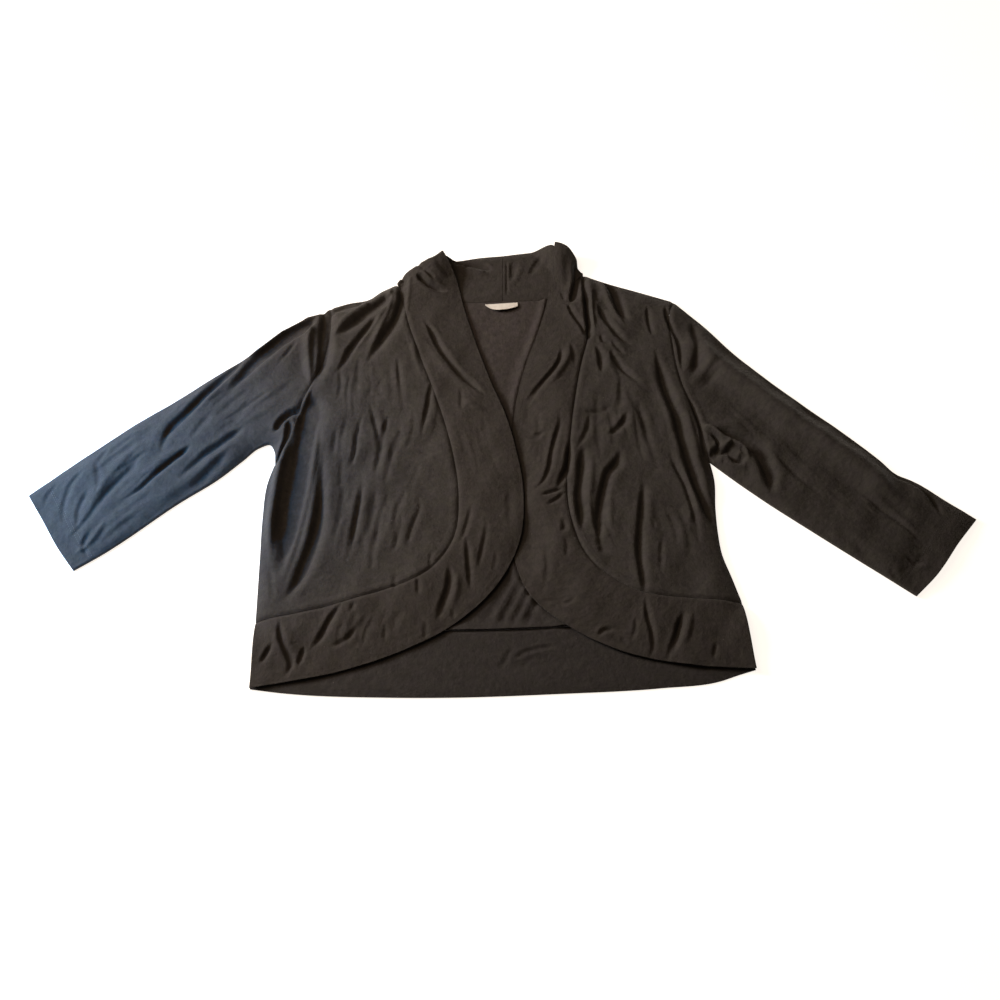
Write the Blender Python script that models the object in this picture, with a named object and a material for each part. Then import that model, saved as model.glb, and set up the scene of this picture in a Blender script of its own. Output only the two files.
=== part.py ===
"""Open-front cropped cardigan in fine jersey, laid flat, face up, with its sleeves spread.

Tables are in millimetres and the finished objects in metres. +X is the viewer's right,
+Y runs from the hem to the collar and +Z is up. Left and right are the viewer's.
The back panel, the back hem band, the lower half of the collar and the lower walls of
the sleeves lie on the surface at z = 0. The fronts, their bands and the upper sleeve
walls lie on them. One relief of loft and folds runs across all of these upper pieces,
so that a fold crosses a seam without a step.
"""

from collections import namedtuple

import bmesh
import bpy
import numpy as np

MM = 0.001
TO_CENTRE = (0.0, 3.2, 0.0)     # from the tables' origin to the middle of the finished piece

# Walls and gaps
JERSEY = 1.5            # one layer of the jersey
DOUBLED = 2.0           # a doubled band, and the back panel that lies level with one
LABEL_WALL = 1.0
SEAM_GAP = 0.3
REST = DOUBLED + SEAM_GAP   # underside of whatever lies on the back

# Air between the layers
LOFT = 4.0              # how far the upper layer stands off the lower one
LOFT_RUN = 18.0         # distance from the outline over which the loft builds up
FOLD_RUN = 11.0         # distance from the outline over which the folds build up
BANK = 0.8              # height of the low banks beside a fold
FOLD_END = 0.35         # share of a fold's length that each end takes to fade
LEAST_RELIEF = 0.4

# Collar: the strip rolls over at each side of the neck
ROLL_AT_NECK = 8.0      # how far the roll lifts the strip at the neck seam
ROLL_AT_EDGE = 14.0     # and at the folded edge
ROLL_RUN = 36.0         # distance over which the lift fades
ROLL_STEPS = 6
ROLL_BOW = 5.0          # how far the middle of the fold lies in from a straight line

# The left band lies over the right one at the middle of the front
OVERLAP = ((14, 30), (16, -140))
OVERLAP_RUN = 34.0
OVERLAP_LIFT = 3.6
OVERLAP_SINK = 2.2

# Sleeve section at its two long edges
EDGE_INSET = 2.2
EDGE_INSET_LIMIT = 0.6      # share of the first cell
SIDE_WALL_SLANT = 0.3       # how fast the inner face follows the outer one
SLIT_SHARE = 0.8
ROUND_STEPS = ((0.5, 0.84), (0.0, 0.5), (0.5, 0.16))     # inset, share of the height

# Cells along each seam, shared by the pieces on both sides of it
SEAM_DOWN = 30          # front to band, from the neck to the corner of the hem curve
SEAM_ALONG = 16         # front to band, from that corner to the side seam
CORNER_SHARE = 0.66     # where that corner lies along the band
ARMHOLE = 16
COLLAR = 10             # centre back to the roll
SIDE_ON_BACK = 5
SHOULDER_ON_BACK = 3
SLEEVE_ROWS = 20
BAND_ACROSS = 5
HEM_ROWS = 3

# Half of the garment as laid. Each edge is a smooth curve through its x, y points.
# A rung is one cross line of the band: seam x, seam y, folded edge x, folded edge y.
Half = namedtuple(
    "Half", "shoulder armhole side sleeve_top sleeve_under cuff collar rungs roll_out"
)

LEFT = Half(
    shoulder=[(-206, 199), (-184, 207), (-160, 213), (-146, 225), (-127, 236)],
    armhole=[(-206, 199), (-205, 164), (-214, 103), (-229, 60), (-238, 14), (-254, -24)],
    side=[(-254, -24), (-260, -50), (-261, -96), (-259, -145), (-256, -219)],
    sleeve_top=[(-206, 199), (-217, 190), (-242, 179), (-266, 160), (-289, 135),
                (-331, 101), (-375, 64), (-415, 33), (-494, -37), (-524, -65)],
    sleeve_under=[(-254, -24), (-256, -8), (-262, 2), (-274, -2), (-291, -19),
                  (-314, -42), (-355, -74), (-432, -140), (-458, -158)],
    cuff=[(-458, -158), (-478, -133), (-500, -100), (-524, -65)],
    collar=[(4, 212, 4, 285), (-22, 210, -24, 282), (-52, 210, -50, 277),
            (-92, 220, -66, 275), (-127, 236, -70, 274)],
    rungs=[(-127, 236, -70, 274), (-120, 212, -57, 249), (-109, 168, -42, 191),
           (-95, 125, -30, 149), (-75, 67, -10, 86), (-61, 21, 7, 38),
           (-52, -19, 17, -2), (-46, -65, 26, -62), (-49, -115, 19, -132),
           (-64, -146, -9, -184), (-88, -168, -53, -225), (-127, -184, -103, -252),
           (-189, -204, -168, -275), (-256, -219, -255, -292)],
    roll_out=(-0.62, 0.78),
)

RIGHT = Half(
    shoulder=[(212, 209), (196, 215), (172, 224), (136, 237), (103, 251)],
    armhole=[(212, 209), (205, 184), (206, 143), (213, 84), (227, 35), (237, -21)],
    side=[(237, -21), (240, -45), (238, -83), (238, -112), (240, -138), (248, -167),
          (256, -197)],
    sleeve_top=[(212, 209), (242, 177), (285, 124), (328, 80), (410, 2), (430, -19),
                (444, -36), (461, -45), (490, -68), (524, -95)],
    sleeve_under=[(237, -21), (255, -38), (289, -68), (349, -116), (416, -168),
                  (442, -188)],
    cuff=[(442, -188), (470, -161), (499, -124), (524, -95)],
    collar=[(4, 212, 4, 285), (30, 212, 29, 289), (60, 216, 54, 292),
            (84, 231, 64, 291), (103, 251, 68, 288)],
    rungs=[(103, 251, 68, 288), (105, 212, 61, 231), (107, 181, 55, 197),
           (105, 150, 46, 163), (97, 118, 33, 122), (87, 63, 20, 68),
           (80, 8, 13, 8), (75, -46, 6, -47), (76, -84, 4, -92),
           (85, -122, 13, -135), (100, -150, 30, -185), (123, -170, 66, -220),
           (154, -186, 118, -249), (201, -192, 188, -266), (256, -197, 263, -271)],
    roll_out=(0.80, 0.60),
)

BACK_SEAM = [(-256, -219), (-130, -226), (0, -226), (110, -219), (200, -208), (256, -197)]
HEM = [(-255, -292), (-224, -296), (-110, -301), (-51, -301), (60, -297), (163, -291),
       (227, -283), (244, -277), (263, -271)]

# Label: centre of its sewn edge, width, depth at the middle and at the ends, arch
LABEL_AT = (1, 211)
LABEL_WIDTH = 43.0
LABEL_DEPTH = 18.0
LABEL_END_DEPTH = 7.0
LABEL_ARCH = 2.5

# The largest folds. Height is negative for a trough; bow is to the left of start-to-end.
Fold = namedtuple("Fold", "name x0 y0 x1 y1 bow half_width height")
FOLDS = [
    # left sleeve
    Fold("head trough", -223, 180, -300, 106, -3, 10, -8),
    Fold("head trough, lower end", -296, 112, -320, 58, 3, 10, -5),
    Fold("upper arm trough", -303, 116, -368, 42, 4, 9, -7),
    Fold("elbow trough", -362, 48, -388, -20, 6, 9, -6),
    Fold("forearm trough", -348, 4, -434, -92, -3, 10, -6),
    Fold("under arm trough", -292, 20, -344, -22, 2, 10, -5),
    Fold("cuff trough", -409, -20, -442, -88, -6, 9, -4),
    Fold("cuff ridge", -395, 0, -452, -100, -10, 10, 3),
    Fold("armhole shadow", -214, 184, -221, 100, 3, 10, -6),
    Fold("armpit", -238, 46, -268, 2, -6, 10, -8),
    # left front
    Fold("side trough", -222, 62, -232, -52, -4, 12, -10),
    Fold("side trough, lower", -230, -40, -240, -158, -7, 12, -9),
    Fold("second trough", -203, -4, -209, -112, 3, 10, -7),
    Fold("second trough, lower", -208, -98, -228, -196, 3, 10, -7),
    Fold("gather by shoulder", -150, 208, -202, 146, -3, 10, -6),
    Fold("gather, middle", -152, 182, -198, 90, -4, 10, -5),
    Fold("gather by neck", -122, 208, -158, 108, -8, 10, -6),
    # left band
    Fold("band crease", -90, 174, -16, 68, -6, 9, -5),
    Fold("band foot", -54, -156, -66, -216, 4, 10, -4),
    Fold("hem fold", -228, -212, -216, -258, 2, 10, -4),
    Fold("hem fold, inner", -172, -198, -195, -252, 2, 10, -3),
    # right front and band
    Fold("neck gather", 128, 230, 144, 184, -3, 10, -7),
    Fold("gather, middle", 120, 184, 156, 140, -4, 10, -6),
    Fold("gather, lower", 122, 144, 166, 76, -3, 10, -5),
    Fold("band crease", 77, 136, 26, 52, 3, 9, -5),
    Fold("band pinch", 20, 11, 54, 18, 3, 9, -4),
    Fold("band foot", 69, 28, 50, -48, -3, 9, -4),
    Fold("long trough", 184, 138, 207, 16, 3, 10, -6),
    Fold("long trough, lower", 202, 32, 230, -100, 3, 11, -9),
    Fold("belly trough", 102, -4, 90, -100, -4, 10, -5),
    Fold("middle trough", 138, -12, 110, -132, -10, 10, -6),
    Fold("outer trough", 157, -70, 158, -212, -3, 10, -6),
    Fold("hem fold", 193, -212, 170, -260, 2, 10, -5),
    # right sleeve
    Fold("head hollow", 232, 166, 226, 90, 5, 11, -6),
    Fold("armpit ridge", 226, 26, 284, -42, 9, 8, 5),
    Fold("armpit trough", 254, 14, 304, -66, 9, 11, -9),
    Fold("armpit", 238, -10, 282, -24, 2, 10, -7),
    Fold("forearm crease", 388, -50, 456, -130, 2, 11, -3),
    Fold("cuff crease", 463, -55, 482, -94, 3, 10, -3),
]

CHARCOAL = (0.020, 0.018, 0.018)
CHARCOAL_BAND = (0.018, 0.016, 0.016)
LABEL_GREY = (0.30, 0.29, 0.28)
JERSEY_ROUGHNESS = 0.85
LABEL_ROUGHNESS = 0.6
FINE = 2400             # steps that a curve's length is measured in


# ---------------------------------------------------------------- curves and patches

def even(cells):
    """Shares from 0 to 1, one for each station along an edge."""
    return np.linspace(0.0, 1.0, cells + 1)


def curve(points, shares):
    """Points at the given shares of the length of a smooth curve through a few others."""
    knots = np.array(points, float)
    steps = np.linalg.norm(np.diff(knots, axis=0), axis=1)
    along = np.concatenate(([0.0], np.cumsum(steps)))
    slope = np.gradient(knots, along, axis=0)
    fine = np.linspace(0.0, along[-1], FINE)
    start = np.clip(np.searchsorted(along, fine, "right") - 1, 0, len(steps) - 1)
    span = steps[start][:, None]
    t = (fine - along[start])[:, None] / span
    path = ((2 * t**3 - 3 * t**2 + 1) * knots[start] + (t**3 - 2 * t**2 + t) * span * slope[start]
            + (3 * t**2 - 2 * t**3) * knots[start + 1] + (t**3 - t**2) * span * slope[start + 1])
    length = np.concatenate(([0.0], np.cumsum(np.linalg.norm(np.diff(path, axis=0), axis=1))))
    wanted = np.asarray(shares) * length[-1]
    return np.column_stack([np.interp(wanted, length, column) for column in path.T])


def patch(first, last, start, end):
    """A plan of points between four edges: rows run from start to end."""
    v = even(len(first) - 1)[:, None, None]
    u = even(len(start) - 1)[None, :, None]
    across = first[:, None] * (1 - u) + last[:, None] * u
    along = start[None] * (1 - v) + end[None] * v
    corners = ((start[0] * (1 - u) + start[-1] * u) * (1 - v)
               + (end[0] * (1 - u) + end[-1] * u) * v)
    return across + along - corners


def inset(plan, gap=SEAM_GAP / 2):
    """The same plan with all four edges moved inwards by half a seam gap."""
    moved = plan.copy()
    for edge, inner in (((0,), (1,)), ((-1,), (-2,))):
        for turned in (False, True):
            grid = plan.transpose(1, 0, 2) if turned else plan
            target = moved.transpose(1, 0, 2) if turned else moved
            line = grid[edge[0]]
            tangent = np.gradient(line, axis=0)
            tangent /= np.linalg.norm(tangent, axis=1)[:, None]
            inwards = grid[inner[0]] - line
            inwards -= (inwards * tangent).sum(axis=1)[:, None] * tangent
            inwards /= np.linalg.norm(inwards, axis=1)[:, None]
            target[edge[0]] += inwards * gap
    return moved


# ---------------------------------------------------------------- heights

def segment_distance(x, y, start, end):
    """Distance in plan from a segment, and the share along it of the nearest point."""
    run = np.subtract(end, start).astype(float)
    t = ((x - start[0]) * run[0] + (y - start[1]) * run[1]) / (run @ run)
    t = np.clip(t, 0.0, 1.0)
    return np.hypot(x - start[0] - t * run[0], y - start[1] - t * run[1]), t


def outline_distance(x, y):
    """Distance in plan from the garment's closed outer edges. The neck and cuffs are open."""
    nearest = np.full(np.shape(x), 1e9)
    for half in (LEFT, RIGHT):
        for edge in (half.shoulder, half.sleeve_top, half.sleeve_under, half.side):
            line = curve(edge, even(12))
            for start, end in zip(line[:-1], line[1:]):
                nearest = np.minimum(nearest, segment_distance(x, y, start, end)[0])
    return nearest


def fold_height(fold, x, y):
    """What one fold adds: a soft trough or ridge along a bowed line, with low banks."""
    length = np.hypot(fold.x1 - fold.x0, fold.y1 - fold.y0)
    ax, ay = (fold.x1 - fold.x0) / length, (fold.y1 - fold.y0) / length
    dx, dy = x - fold.x0, y - fold.y0
    t = (dx * ax + dy * ay) / length
    within = np.clip(t, 0.0, 1.0)
    side = dy * ax - dx * ay - fold.bow * 4 * within * (1 - within)
    fade = np.clip((0.5 - np.abs(t - 0.5)) / FOLD_END, 0.0, 1.0)
    fade = fade * fade * (3 - 2 * fade)
    q = (side / fold.half_width) ** 2
    return fold.height * fade * (1 - BANK * q) * np.exp(-q)


def relief(x, y):
    """Height of the upper layer's underside above its rest level."""
    distance = outline_distance(x, y)
    folds = sum(fold_height(fold, x, y) for fold in FOLDS)
    raised = (LOFT * (1 - np.exp(-distance / LOFT_RUN))
              + folds * (1 - np.exp(-(distance / FOLD_RUN) ** 2)))
    return 0.5 * (raised + np.sqrt(raised**2 + LEAST_RELIEF**2))


def collar_lift(half, x, y):
    """How far the rolled collar lifts what lies near its fold."""
    seam_x, seam_y, edge_x, edge_y = half.rungs[0]
    distance, t = segment_distance(x, y, (seam_x, seam_y), (edge_x, edge_y))
    lift = ROLL_AT_NECK + (ROLL_AT_EDGE - ROLL_AT_NECK) * t
    return lift * np.exp(-(distance / ROLL_RUN) ** 2)


def upper_level(x, y, half):
    """Underside of a front or sleeve."""
    tucked = 1 - np.exp(-(outline_distance(x, y) / FOLD_RUN) ** 2)
    return REST + relief(x, y) + collar_lift(half, x, y) * tucked


def band_level(x, y, half):
    """Underside of a band: the left one rises over the right one at the middle."""
    distance, _ = segment_distance(x, y, *OVERLAP)
    near = np.exp(-(distance / OVERLAP_RUN) ** 2)
    step = OVERLAP_LIFT if half is LEFT else -OVERLAP_SINK
    return REST + np.maximum(relief(x, y) + step * near, LEAST_RELIEF) + collar_lift(half, x, y)


# ---------------------------------------------------------------- solids

def cloth_material(name, colour, roughness):
    material = bpy.data.materials.new(name)
    material.use_nodes = True
    shader = material.node_tree.nodes["Principled BSDF"]
    shader.inputs["Base Color"].default_value = (*colour, 1.0)
    shader.inputs["Roughness"].default_value = roughness
    shader.inputs["Metallic"].default_value = 0.0
    return material


def wall(name, outside, inside, material, collection, closed=False):
    """One closed body between two matching grids of points, rows by columns.

    A unit slab of the same cells is laid out first, and each of its points is then moved
    to its place. A closed wall is a tube: its first and last columns are one line.
    """
    rows, columns = outside.shape[:2]
    slab = bmesh.new()
    bmesh.ops.create_grid(slab, x_segments=columns - 1, y_segments=rows - 1, size=0.5)
    grown = bmesh.ops.extrude_face_region(slab, geom=slab.faces[:])["geom"]
    for vertex in grown:
        if isinstance(vertex, bmesh.types.BMVert):
            vertex.co.z = 1.0
    if closed:
        ends = [face for face in slab.faces
                if abs(sum(vertex.co.x for vertex in face.verts)) > 1.999]
        bmesh.ops.delete(slab, geom=ends, context="FACES")
    for vertex in slab.verts:
        row = round((vertex.co.y + 0.5) * (rows - 1))
        column = round((vertex.co.x + 0.5) * (columns - 1))
        grid = inside if vertex.co.z > 0.5 else outside
        vertex.co = (grid[row, column] + TO_CENTRE) * MM
    if closed:
        bmesh.ops.remove_doubles(slab, verts=slab.verts[:], dist=1e-7)
    bmesh.ops.recalc_face_normals(slab, faces=slab.faces[:])
    mesh = bpy.data.meshes.new(name)
    slab.to_mesh(mesh)
    slab.free()
    mesh.shade_smooth()
    mesh.set_sharp_from_angle(angle=0.9)
    mesh.materials.append(material)
    piece = bpy.data.objects.new(name, mesh)
    collection.objects.link(piece)
    return piece


def lifted(plan, level):
    """Plan points at a height, which is one number or a number for each point."""
    height = np.broadcast_to(np.asarray(level, float), plan.shape[:2])
    return np.dstack((plan, height))


def flat_sheet(name, plan, thickness, material, collection, base=0.0):
    """A sheet that lies level, on the surface unless a base is given."""
    return wall(name, lifted(plan, base + thickness), lifted(plan, base), material, collection)


# ---------------------------------------------------------------- shared edges

def band_shares():
    """Stations along a band: its corner falls on one of them."""
    down = even(SEAM_DOWN) * CORNER_SHARE
    along = CORNER_SHARE + even(SEAM_ALONG) * (1 - CORNER_SHARE)
    return np.concatenate((down, along[1:]))


def band_edges(half):
    """Seam line and folded edge of the part of the band that lies on the front."""
    rungs = curve(half.rungs, band_shares())
    return rungs[:, :2], rungs[:, 2:]


def collar_edges(half):
    """Neck seam and folded edge of the part of the collar behind the neck."""
    rungs = curve(half.collar, even(COLLAR))
    return rungs[:, :2], rungs[:, 2:]


# ---------------------------------------------------------------- pieces

def make_back(material, collection):
    """Back panel: its sides run up the side seams, round the armholes and over the shoulders."""
    sides = []
    for half in (LEFT, RIGHT):
        side = curve(half.side, even(SIDE_ON_BACK))[::-1]
        armhole = curve(half.armhole, even(ARMHOLE))[::-2]
        shoulder = curve(half.shoulder, even(SHOULDER_ON_BACK))
        sides.append(np.concatenate((side, armhole[1:], shoulder[1:])))
    neck_left, _ = collar_edges(LEFT)
    neck_right, _ = collar_edges(RIGHT)
    neck = np.concatenate((neck_left[::-1], neck_right[1:]))
    foot = curve(BACK_SEAM, even(2 * COLLAR))
    plan = inset(patch(sides[0], sides[1], foot, neck))
    return flat_sheet("back", plan, DOUBLED, material, collection)


def make_back_hem_band(material, collection):
    foot = curve(HEM, even(2 * COLLAR))
    seam = curve(BACK_SEAM, even(2 * COLLAR))
    rise = even(HEM_ROWS)[:, None]
    left = foot[0] * (1 - rise) + seam[0] * rise
    right = foot[-1] * (1 - rise) + seam[-1] * rise
    plan = inset(patch(left, right, foot, seam))
    return flat_sheet("back_hem_band", plan, DOUBLED, material, collection)


def make_front(name, half, material, collection):
    """Front panel: side seam and armhole on one side, the band's curve on the other."""
    seam, _ = band_edges(half)
    side = curve(half.side, even(SEAM_DOWN - ARMHOLE))[::-1]
    armhole = curve(half.armhole, even(ARMHOLE))[::-1]
    outer = np.concatenate((side, armhole[1:]))
    shoulder = curve(half.shoulder, even(SEAM_ALONG))
    inner = seam[SEAM_DOWN::-1]
    foot = seam[:SEAM_DOWN - 1:-1]
    plan = inset(patch(outer, inner, foot, shoulder))
    under = upper_level(plan[..., 0], plan[..., 1], half)
    return wall(name, lifted(plan, under + JERSEY), lifted(plan, under), material, collection)


def make_band(name, half, material, collection):
    """Collar and front band: one doubled strip that rolls over at the side of the neck.

    It lies face down behind the neck, turns over the roll and runs face up down the
    front, round the curve and along the hem to the side seam.
    """
    share = even(BAND_ACROSS)[None, :, None]
    seam, edge = band_edges(half)
    front = inset(seam[:, None] * (1 - share) + edge[:, None] * share)
    front[0] -= np.outer(4 * share * (1 - share), half.roll_out) * ROLL_BOW
    neck, top = collar_edges(half)
    behind = inset(neck[:, None] * (1 - share) + top[:, None] * share)
    behind[-1] = front[0]
    up = np.array((0.0, 0.0, 1.0))

    low_face, low_back = lifted(behind, 0.0), lifted(behind, DOUBLED)
    under = band_level(front[..., 0], front[..., 1], half)
    high_face, high_back = lifted(front, under + DOUBLED), lifted(front, under)

    radius = under[0] / 2
    centre = lifted(front[:1], DOUBLED / 2 + radius)[0]
    out = np.array((*half.roll_out, 0.0))
    faces, backs = [], []
    for turn in even(ROLL_STEPS)[1:-1] * np.pi:
        ray = out * np.sin(turn) - up * np.cos(turn)
        faces.append(centre + ray * (radius + DOUBLED / 2)[:, None])
        backs.append(centre + ray * (radius - DOUBLED / 2)[:, None])
    outside = np.concatenate((low_face, np.array(faces), high_face))
    inside = np.concatenate((low_back, np.array(backs), high_back))
    return wall(name, outside, inside, material, collection)


def make_sleeve(name, half, material, collection):
    """Set-in sleeve: a flattened tube from the armhole to the open cuff."""
    under_edge = curve(half.sleeve_under, even(SLEEVE_ROWS))
    top_edge = curve(half.sleeve_top, even(SLEEVE_ROWS))
    armhole = curve(half.armhole, even(ARMHOLE))[::-1]
    cuff = curve(half.cuff, even(ARMHOLE))
    plan = inset(patch(under_edge, top_edge, armhole, cuff))

    def step_in(distance, column):
        """Points a distance in from one of the long edges, which is column 0 or -1."""
        edge, inner = (plan[:, -1], plan[:, -2]) if column else (plan[:, 0], plan[:, 1])
        run = np.linalg.norm(inner - edge, axis=1)[:, None]
        return edge + (inner - edge) * np.minimum(distance / run, EDGE_INSET_LIMIT)

    upper = plan.copy()
    upper[:, 0], upper[:, -1] = step_in(EDGE_INSET, 0), step_in(EDGE_INSET, 1)
    lower = upper[:, ::2]
    level = upper_level(upper[..., 0], upper[..., 1], half)
    outer_top, inner_top = lifted(upper, level + JERSEY), lifted(upper, level)
    outer_foot, inner_foot = lifted(lower, 0.0), lifted(lower, JERSEY)

    def rounded(column):
        """The three stations of the wall round one long edge, outer and inner."""
        height = outer_top[:, column, 2]
        slit = inner_top[:, column, 2] - JERSEY
        outer, inner = [], []
        for distance, share in ROUND_STEPS:
            outer.append(lifted(step_in(distance, column)[:, None], (height * share)[:, None]))
            wall_in = JERSEY + distance * SIDE_WALL_SLANT
            middle = JERSEY + slit * (0.5 + (share - 0.5) * SLIT_SHARE)
            inner.append(lifted(step_in(wall_in, column)[:, None], middle[:, None]))
        return outer, inner

    first_outer, first_inner = rounded(0)
    last_outer, last_inner = rounded(-1)
    outside = np.concatenate(
        [outer_top, *last_outer, outer_foot[:, ::-1], *first_outer[::-1], outer_top[:, :1]], axis=1)
    inside = np.concatenate(
        [inner_top, *last_inner, inner_foot[:, ::-1], *first_inner[::-1], inner_top[:, :1]], axis=1)
    return wall(name, outside, inside, material, collection, closed=True)


def make_label(material, collection):
    """Bare woven label, sewn into the back neck seam and arched a little off the back."""
    across = np.linspace(-1.0, 1.0, 9)
    down = even(3)[:, None]
    depth = LABEL_END_DEPTH + (LABEL_DEPTH - LABEL_END_DEPTH) * (1 - across**2)
    x = LABEL_AT[0] + across[None] * LABEL_WIDTH / 2 + 0 * down
    y = LABEL_AT[1] - SEAM_GAP - down * depth[None]
    under = REST + LABEL_ARCH * np.sin(np.pi * down) * (1 - across[None] ** 2)
    plan = np.dstack((x, y))
    return wall("label", lifted(plan, under + LABEL_WALL), lifted(plan, under),
                material, collection)


def build_cardigan():
    for existing in list(bpy.data.objects):
        bpy.data.objects.remove(existing)
    collection = bpy.data.collections.new("open_front_cardigan")
    bpy.context.scene.collection.children.link(collection)

    jersey = cloth_material("jersey", CHARCOAL, JERSEY_ROUGHNESS)
    band = cloth_material("band_jersey", CHARCOAL_BAND, JERSEY_ROUGHNESS)
    woven = cloth_material("label_weave", LABEL_GREY, LABEL_ROUGHNESS)

    make_back(jersey, collection)
    make_back_hem_band(band, collection)
    for side, half in (("left", LEFT), ("right", RIGHT)):
        make_front(f"front_{side}", half, jersey, collection)
        make_band(f"band_{side}", half, band, collection)
        make_sleeve(f"sleeve_{side}", half, jersey, collection)
    make_label(woven, collection)


build_cardigan()
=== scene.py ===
"""Looks of an open-front cropped cardigan in fine black jersey, laid flat, face up.

Tables are in millimetres in the garment's own plan and the finished pieces in metres.
+X is the viewer's right, +Y runs from the hem to the collar and +Z is up. Left and right
are the viewer's. Each piece is a thin shell on the form of the solid that it stands for,
and one relief of loft, folds and creases runs across all the upper pieces, so that a
crease crosses a seam without a step.
"""

import math
from collections import namedtuple

import bmesh
import bpy
import numpy as np
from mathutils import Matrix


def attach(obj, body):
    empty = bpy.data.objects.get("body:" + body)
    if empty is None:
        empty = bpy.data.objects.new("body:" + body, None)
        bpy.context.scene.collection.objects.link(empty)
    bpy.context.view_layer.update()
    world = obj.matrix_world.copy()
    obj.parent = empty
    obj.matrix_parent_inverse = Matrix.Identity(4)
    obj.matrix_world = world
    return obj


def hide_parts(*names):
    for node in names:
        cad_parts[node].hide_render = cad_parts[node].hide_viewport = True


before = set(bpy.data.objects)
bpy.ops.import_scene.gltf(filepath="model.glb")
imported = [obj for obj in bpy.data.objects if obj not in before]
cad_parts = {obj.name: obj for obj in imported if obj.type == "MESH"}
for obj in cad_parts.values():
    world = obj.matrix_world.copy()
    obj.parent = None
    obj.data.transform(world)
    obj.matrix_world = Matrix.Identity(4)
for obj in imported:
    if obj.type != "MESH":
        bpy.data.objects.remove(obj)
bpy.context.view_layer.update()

MM = 0.001
TO_CENTRE = (0.0, 3.2, 0.0)  # from the tables' origin to the middle of the finished piece

# -------------------- the cut, as laid out

def places(text):
    """Places typed as x,y and x,y and so on."""
    return np.array([place.split(",") for place in text.split()], float)


# Each edge is a smooth curve through its x,y points. A rung is one cross line of the band,
# and so is each place of the collar: seam x,y and folded edge x,y.
Half = namedtuple("Half", "name shoulder armhole side sleeve_top sleeve_under cuff collar rungs "
                          "roll_out roll_rise roll_bow")

LEFT = Half(
    name="left",
    shoulder=places("-206,199 -184,207 -160,213 -146,225 -127,236"),
    armhole=places("-206,199 -205,164 -214,103 -229,60 -238,14 -254,-24"),
    side=places("-254,-24 -260,-50 -261,-96 -259,-145 -256,-219"),
    sleeve_top=places("-206,199 -217,190 -242,179 -266,160 -289,135 -331,101 -375,64 -415,33"
                      " -494,-37 -524,-65"),
    sleeve_under=places("-254,-24 -256,-8 -262,2 -274,-2 -291,-19 -314,-42 -355,-74 -432,-140"
                        " -458,-158"),
    cuff=places("-458,-158 -478,-133 -500,-100 -524,-65"),
    collar=places("4,212,4,285 -22,210,-24,282 -52,210,-50,277 -92,220,-66,275 -127,236,-70,274"),
    rungs=places("-127,236,-70,274 -120,212,-57,249 -109,168,-42,191 -95,125,-30,149 -75,67,-10,86"
                 " -61,21,7,38 -52,-19,17,-2 -46,-65,26,-62 -49,-115,19,-132 -64,-146,-9,-184"
                 " -88,-168,-53,-225 -127,-184,-103,-252 -189,-204,-168,-275 -256,-219,-255,-292"),
    roll_out=(-0.62, 0.78),
    roll_rise=(14.0, 17.0),
    roll_bow=-4.0,
)

RIGHT = Half(
    name="right",
    shoulder=places("212,209 196,215 172,224 136,237 103,251"),
    armhole=places("212,209 205,184 206,143 213,84 227,35 237,-21"),
    side=places("237,-21 240,-45 238,-83 238,-112 240,-138 248,-167 256,-197"),
    sleeve_top=places("212,209 242,177 285,124 328,80 410,2 430,-19 444,-36 461,-45 490,-68 524,-95"),
    sleeve_under=places("237,-21 255,-38 289,-68 349,-116 416,-168 442,-188"),
    cuff=places("442,-188 470,-161 499,-124 524,-95"),
    collar=places("4,212,4,285 30,212,29,289 60,216,54,292 84,231,64,291 103,251,68,288"),
    rungs=places("103,251,68,288 105,212,61,231 107,181,55,197 105,150,46,163 97,118,33,122"
                 " 87,63,20,68 80,8,13,8 75,-46,6,-47 76,-84,4,-92 85,-122,13,-135 100,-150,30,-185"
                 " 123,-170,66,-220 154,-186,118,-249 201,-192,188,-266 256,-197,263,-271"),
    roll_out=(0.80, 0.60),
    roll_rise=(15.5, 32.0),
    roll_bow=4.0,
)

BACK_SEAM = places("-256,-219 -130,-226 0,-226 110,-219 200,-208 256,-197")
HEM = places("-255,-292 -224,-296 -110,-301 -51,-301 60,-297 163,-291 227,-283 244,-277 263,-271")

# -------------------- cloth

JERSEY = 1.5  # top of one upper layer above its level
DOUBLED = 2.0  # a doubled band
SHELL = 1.0  # thickness of one layer as modelled here
LEAST_WALL = 0.08  # half of what is left of it at a rounded edge
SEAM_GAP = 0.3  # between the layers
PIECE_GAP = 0.1  # between two pieces at a seam
REST = DOUBLED + SEAM_GAP  # level of whatever lies on the back

LOFT, LOFT_RUN = 6.0, 25.0  # of the upper layer off the lower one, and how far in from the outline
LOFT_ROUND = 2.3  # how square the rounded outline is
EDGE_LOFT, EDGE_RUN = 0.28, 50.0  # share of the loft left at the free edge of a band
EDGE_THIN, EDGE_THIN_RUN = 0.55, 8.0  # half the thickness of a band at its folded edge
CUFF_LOFT, CUFF_RUN = 0.4, 60.0  # share of the loft left at the open end of a sleeve
TUCK_RUN = 11.0  # the collar's lift fades out this near to the outline

CREASE_RUN = 3.0  # creases fade out towards the outline
CREASE_REACH = 5.0  # half widths over which a crease is felt
LEAST_CREASE = 0.5  # share of a crease that is left at the free edge of a band
LEAST_RELIEF = 0.4  # keeps an upper layer off the lower one in the troughs
BANK = 0.5  # how much a trough pushes up the cloth on its two sides
TAPER = 0.45  # how much a crease narrows towards its ends
DEEP, DEEPEST = 8.5, 8.1  # a crease of this rise is so deep,
EASE = 1.25  # and the smaller ones are shallower still
LIE = (-0.92, 0.39)  # troughs are steeper on this side, and ridges gentler

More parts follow.
